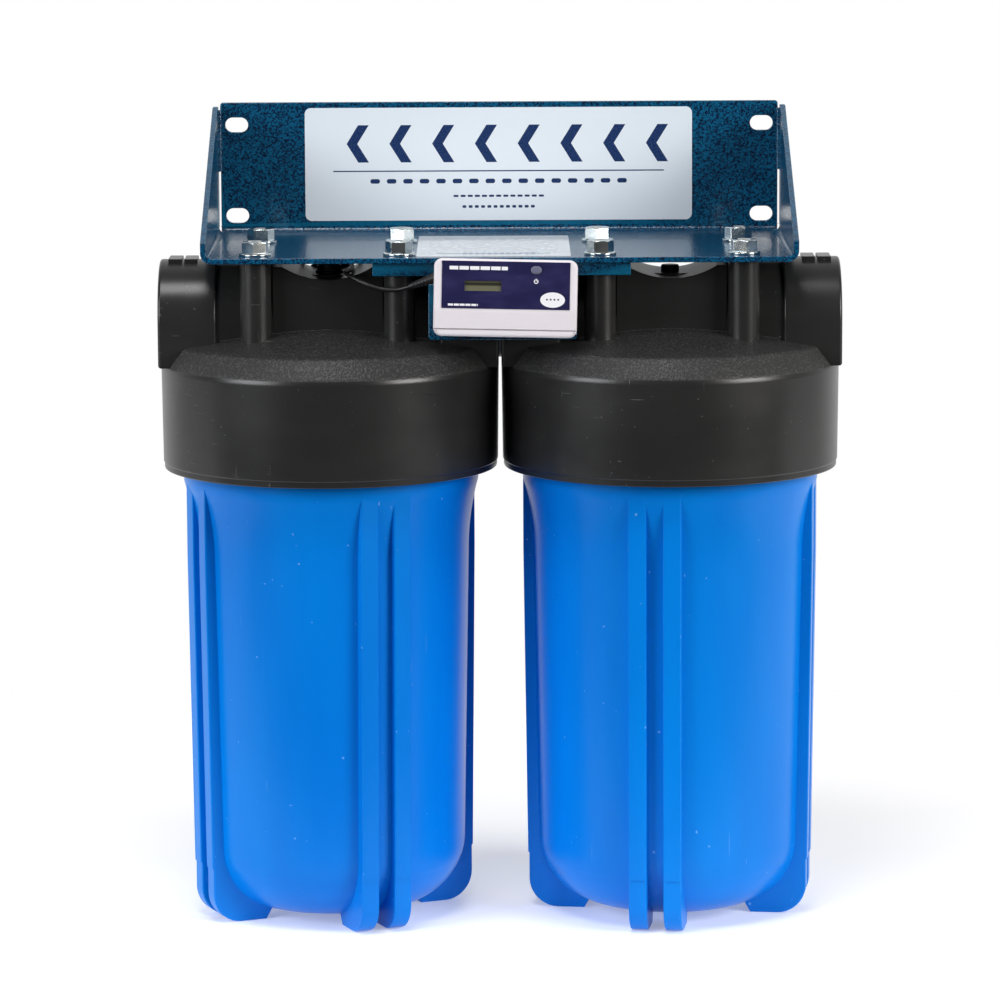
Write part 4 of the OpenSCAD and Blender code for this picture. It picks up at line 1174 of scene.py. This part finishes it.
baseBolt = flangeBolt()
bolts = []
for side, sign in (("left", -1), ("right", 1)):
    for x in (-1, 1):
        for y in (-1, 1):
            bolt = copied(baseBolt, "bolt")
            spot = (places["housingX"][side] + x * capShape["post"]["x"] * mm,
                    places["centreY"] + y * capShape["post"]["y"] * mm, places["shelfTop"])
            bolts.append(moved(bolt, spot, math.radians(17 * x + 40 * y * sign)))
bpy.data.objects.remove(baseBolt)
capBolts = joined("flangeBolts", bolts)
finishPiece(smoothed(capBolts, 28), "frame", "zinc_bolt", "cap_bolts")
print("bolts are made")


# Folded sheet: the bracket and the monitor's strip
for node, name in (("wall_bracket", "wallBracketSheet"), ("monitor_bracket", "monitorStrip")):
    sheet = softEdges(solidCopy(node, name), 0.45 * mm, 3, 35)
    finishPiece(smoothed(sheet, 30), "frame", "bracket_paint", node)


# Monitor case
case = {
    "w": 76.4, "h": 41.4, "front": -25.0, "back": -5.0, "corner": 4.5,
    "chin": (-6.6, math.tan(math.radians(8))),  # where the front starts to lean in, and by how much
}
monitorBack = Matrix.Translation(monitor["middle"]) @ monitorTurn.to_4x4()


def onOutline(point):                           # on the case's rounded side wall
    across = max(abs(point.x) - (case["w"] / 2 - case["corner"]), 0)
    up = max(abs(point.z) - (case["h"] / 2 - case["corner"]), 0)
    return math.hypot(across, up) > case["corner"] - 0.06


def onFront(point):
    chinTop, slope = case["chin"]
    return point.y < case["front"] + max(chinTop - point.z, 0) * slope + 0.06


def roundRim(piece, width, chosen):             # rounds the rim edges whose ends are all chosen
    focus(piece)
    bpy.ops.object.mode_set(mode="EDIT")
    bpy.ops.mesh.select_mode(type="EDGE")
    bpy.ops.mesh.select_all(action="DESELECT")
    bpy.ops.object.mode_set(mode="OBJECT")
    toCase = monitorBack.inverted()
    spots = [toCase @ v.co / mm for v in piece.data.vertices]
    for edge in piece.data.edges:
        ends = [spots[i] for i in edge.vertices]
        edge.select = all(onOutline(p) and chosen(p) for p in ends)
    bpy.ops.object.mode_set(mode="EDIT")
    bpy.ops.mesh.bevel(offset=width, segments=4, affect="EDGES", clamp_overlap=False)
    bpy.ops.mesh.select_mode(type="VERT")
    bpy.ops.object.mode_set(mode="OBJECT")
    return piece


for node, name in (("monitor_front_shell", "monitorFront"), ("monitor_back_shell", "monitorBack")):
    shell = solidCopy(node, name)
    roundRim(shell, 1.5 * mm, onFront)
    if node == "monitor_back_shell":
        roundRim(shell, 1.0 * mm, lambda p: p.y > case["back"] - 0.06)
    softEdges(shell, 0.15 * mm, 2, 38)
    finishPiece(smoothed(shell, 30), "frame", "case_plastic", node)

key = {"w": 6.0, "h": 4.4, "x": 16.1, "z": 15.1, "front": -25.9, "back": -20.2, "bevel": 0.9}
outline = arc((key["w"] - key["h"]) / 2, 0, key["h"] / 2, -90, 90, 20)
outline += arc(-(key["w"] - key["h"]) / 2, 0, key["h"] / 2, 90, 270, 20)
powerKey = flatShape("powerKey", outline, key["back"] - key["front"], key["bevel"], (90, 0, 0),
                     (key["x"] * mm, (key["front"] + key["back"]) / 2 * mm, key["z"] * mm))
powerKey.matrix_world = monitorBack
settle(powerKey)
finishPiece(smoothed(powerKey), "power_key", "button_rubber", "power_button")
print("the monitor is made")


# Fittings on the caps' turrets
turretTop = capShape["turret"]["top"]
reliefButton = turned("reliefButton", rounded([
    (0, 340.9), (3, 340.9, 0.3), (3, 342.5, 0.2), (2, 342.5), (2, turretTop - 2),
    (4.92, turretTop - 2, 0.3), (4.92, turretTop + 3.5, 1.1), (0, turretTop + 3.5),
]), (places["housingX"]["right"], places["centreY"], 0), 48)
finishPiece(smoothed(reliefButton), "relief_valve", "valve_plastic", "relief_button")

press = next(j for j in frame["record"]["behaviour"]["joints"] if j["name"] == "relief_press")
spring = frame["nodes"]["relief_spring"]        # its height above the fixed foot is worked out, but nothing makes it shorten
springFoot = press["deforming_nodes"][0]["fixed_end_z_m"]
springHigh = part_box("relief_spring")[1].z - springFoot
1 - press["range_m"][1] / springHigh
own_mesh(spring)

probeBody = turned("probeBody", rounded([
    (0, 321), (3.6, 321, 0.8), (3.6, 343.5), (4.9, 343.5, 0.3), (4.9, turretTop + 1),
    (6.5, turretTop + 1, 0.3), (6.5, turretTop + 4.4, 0.5), (5.6, turretTop + 4.9),
    (5.6, turretTop + 6.4, 0.9), (0, turretTop + 6.4),
]), (places["housingX"]["left"], places["centreY"], 0), 48)
finishPiece(smoothed(probeBody), "frame", "probe_plastic", "probe_body")
print("fittings are made")

clearSelection()
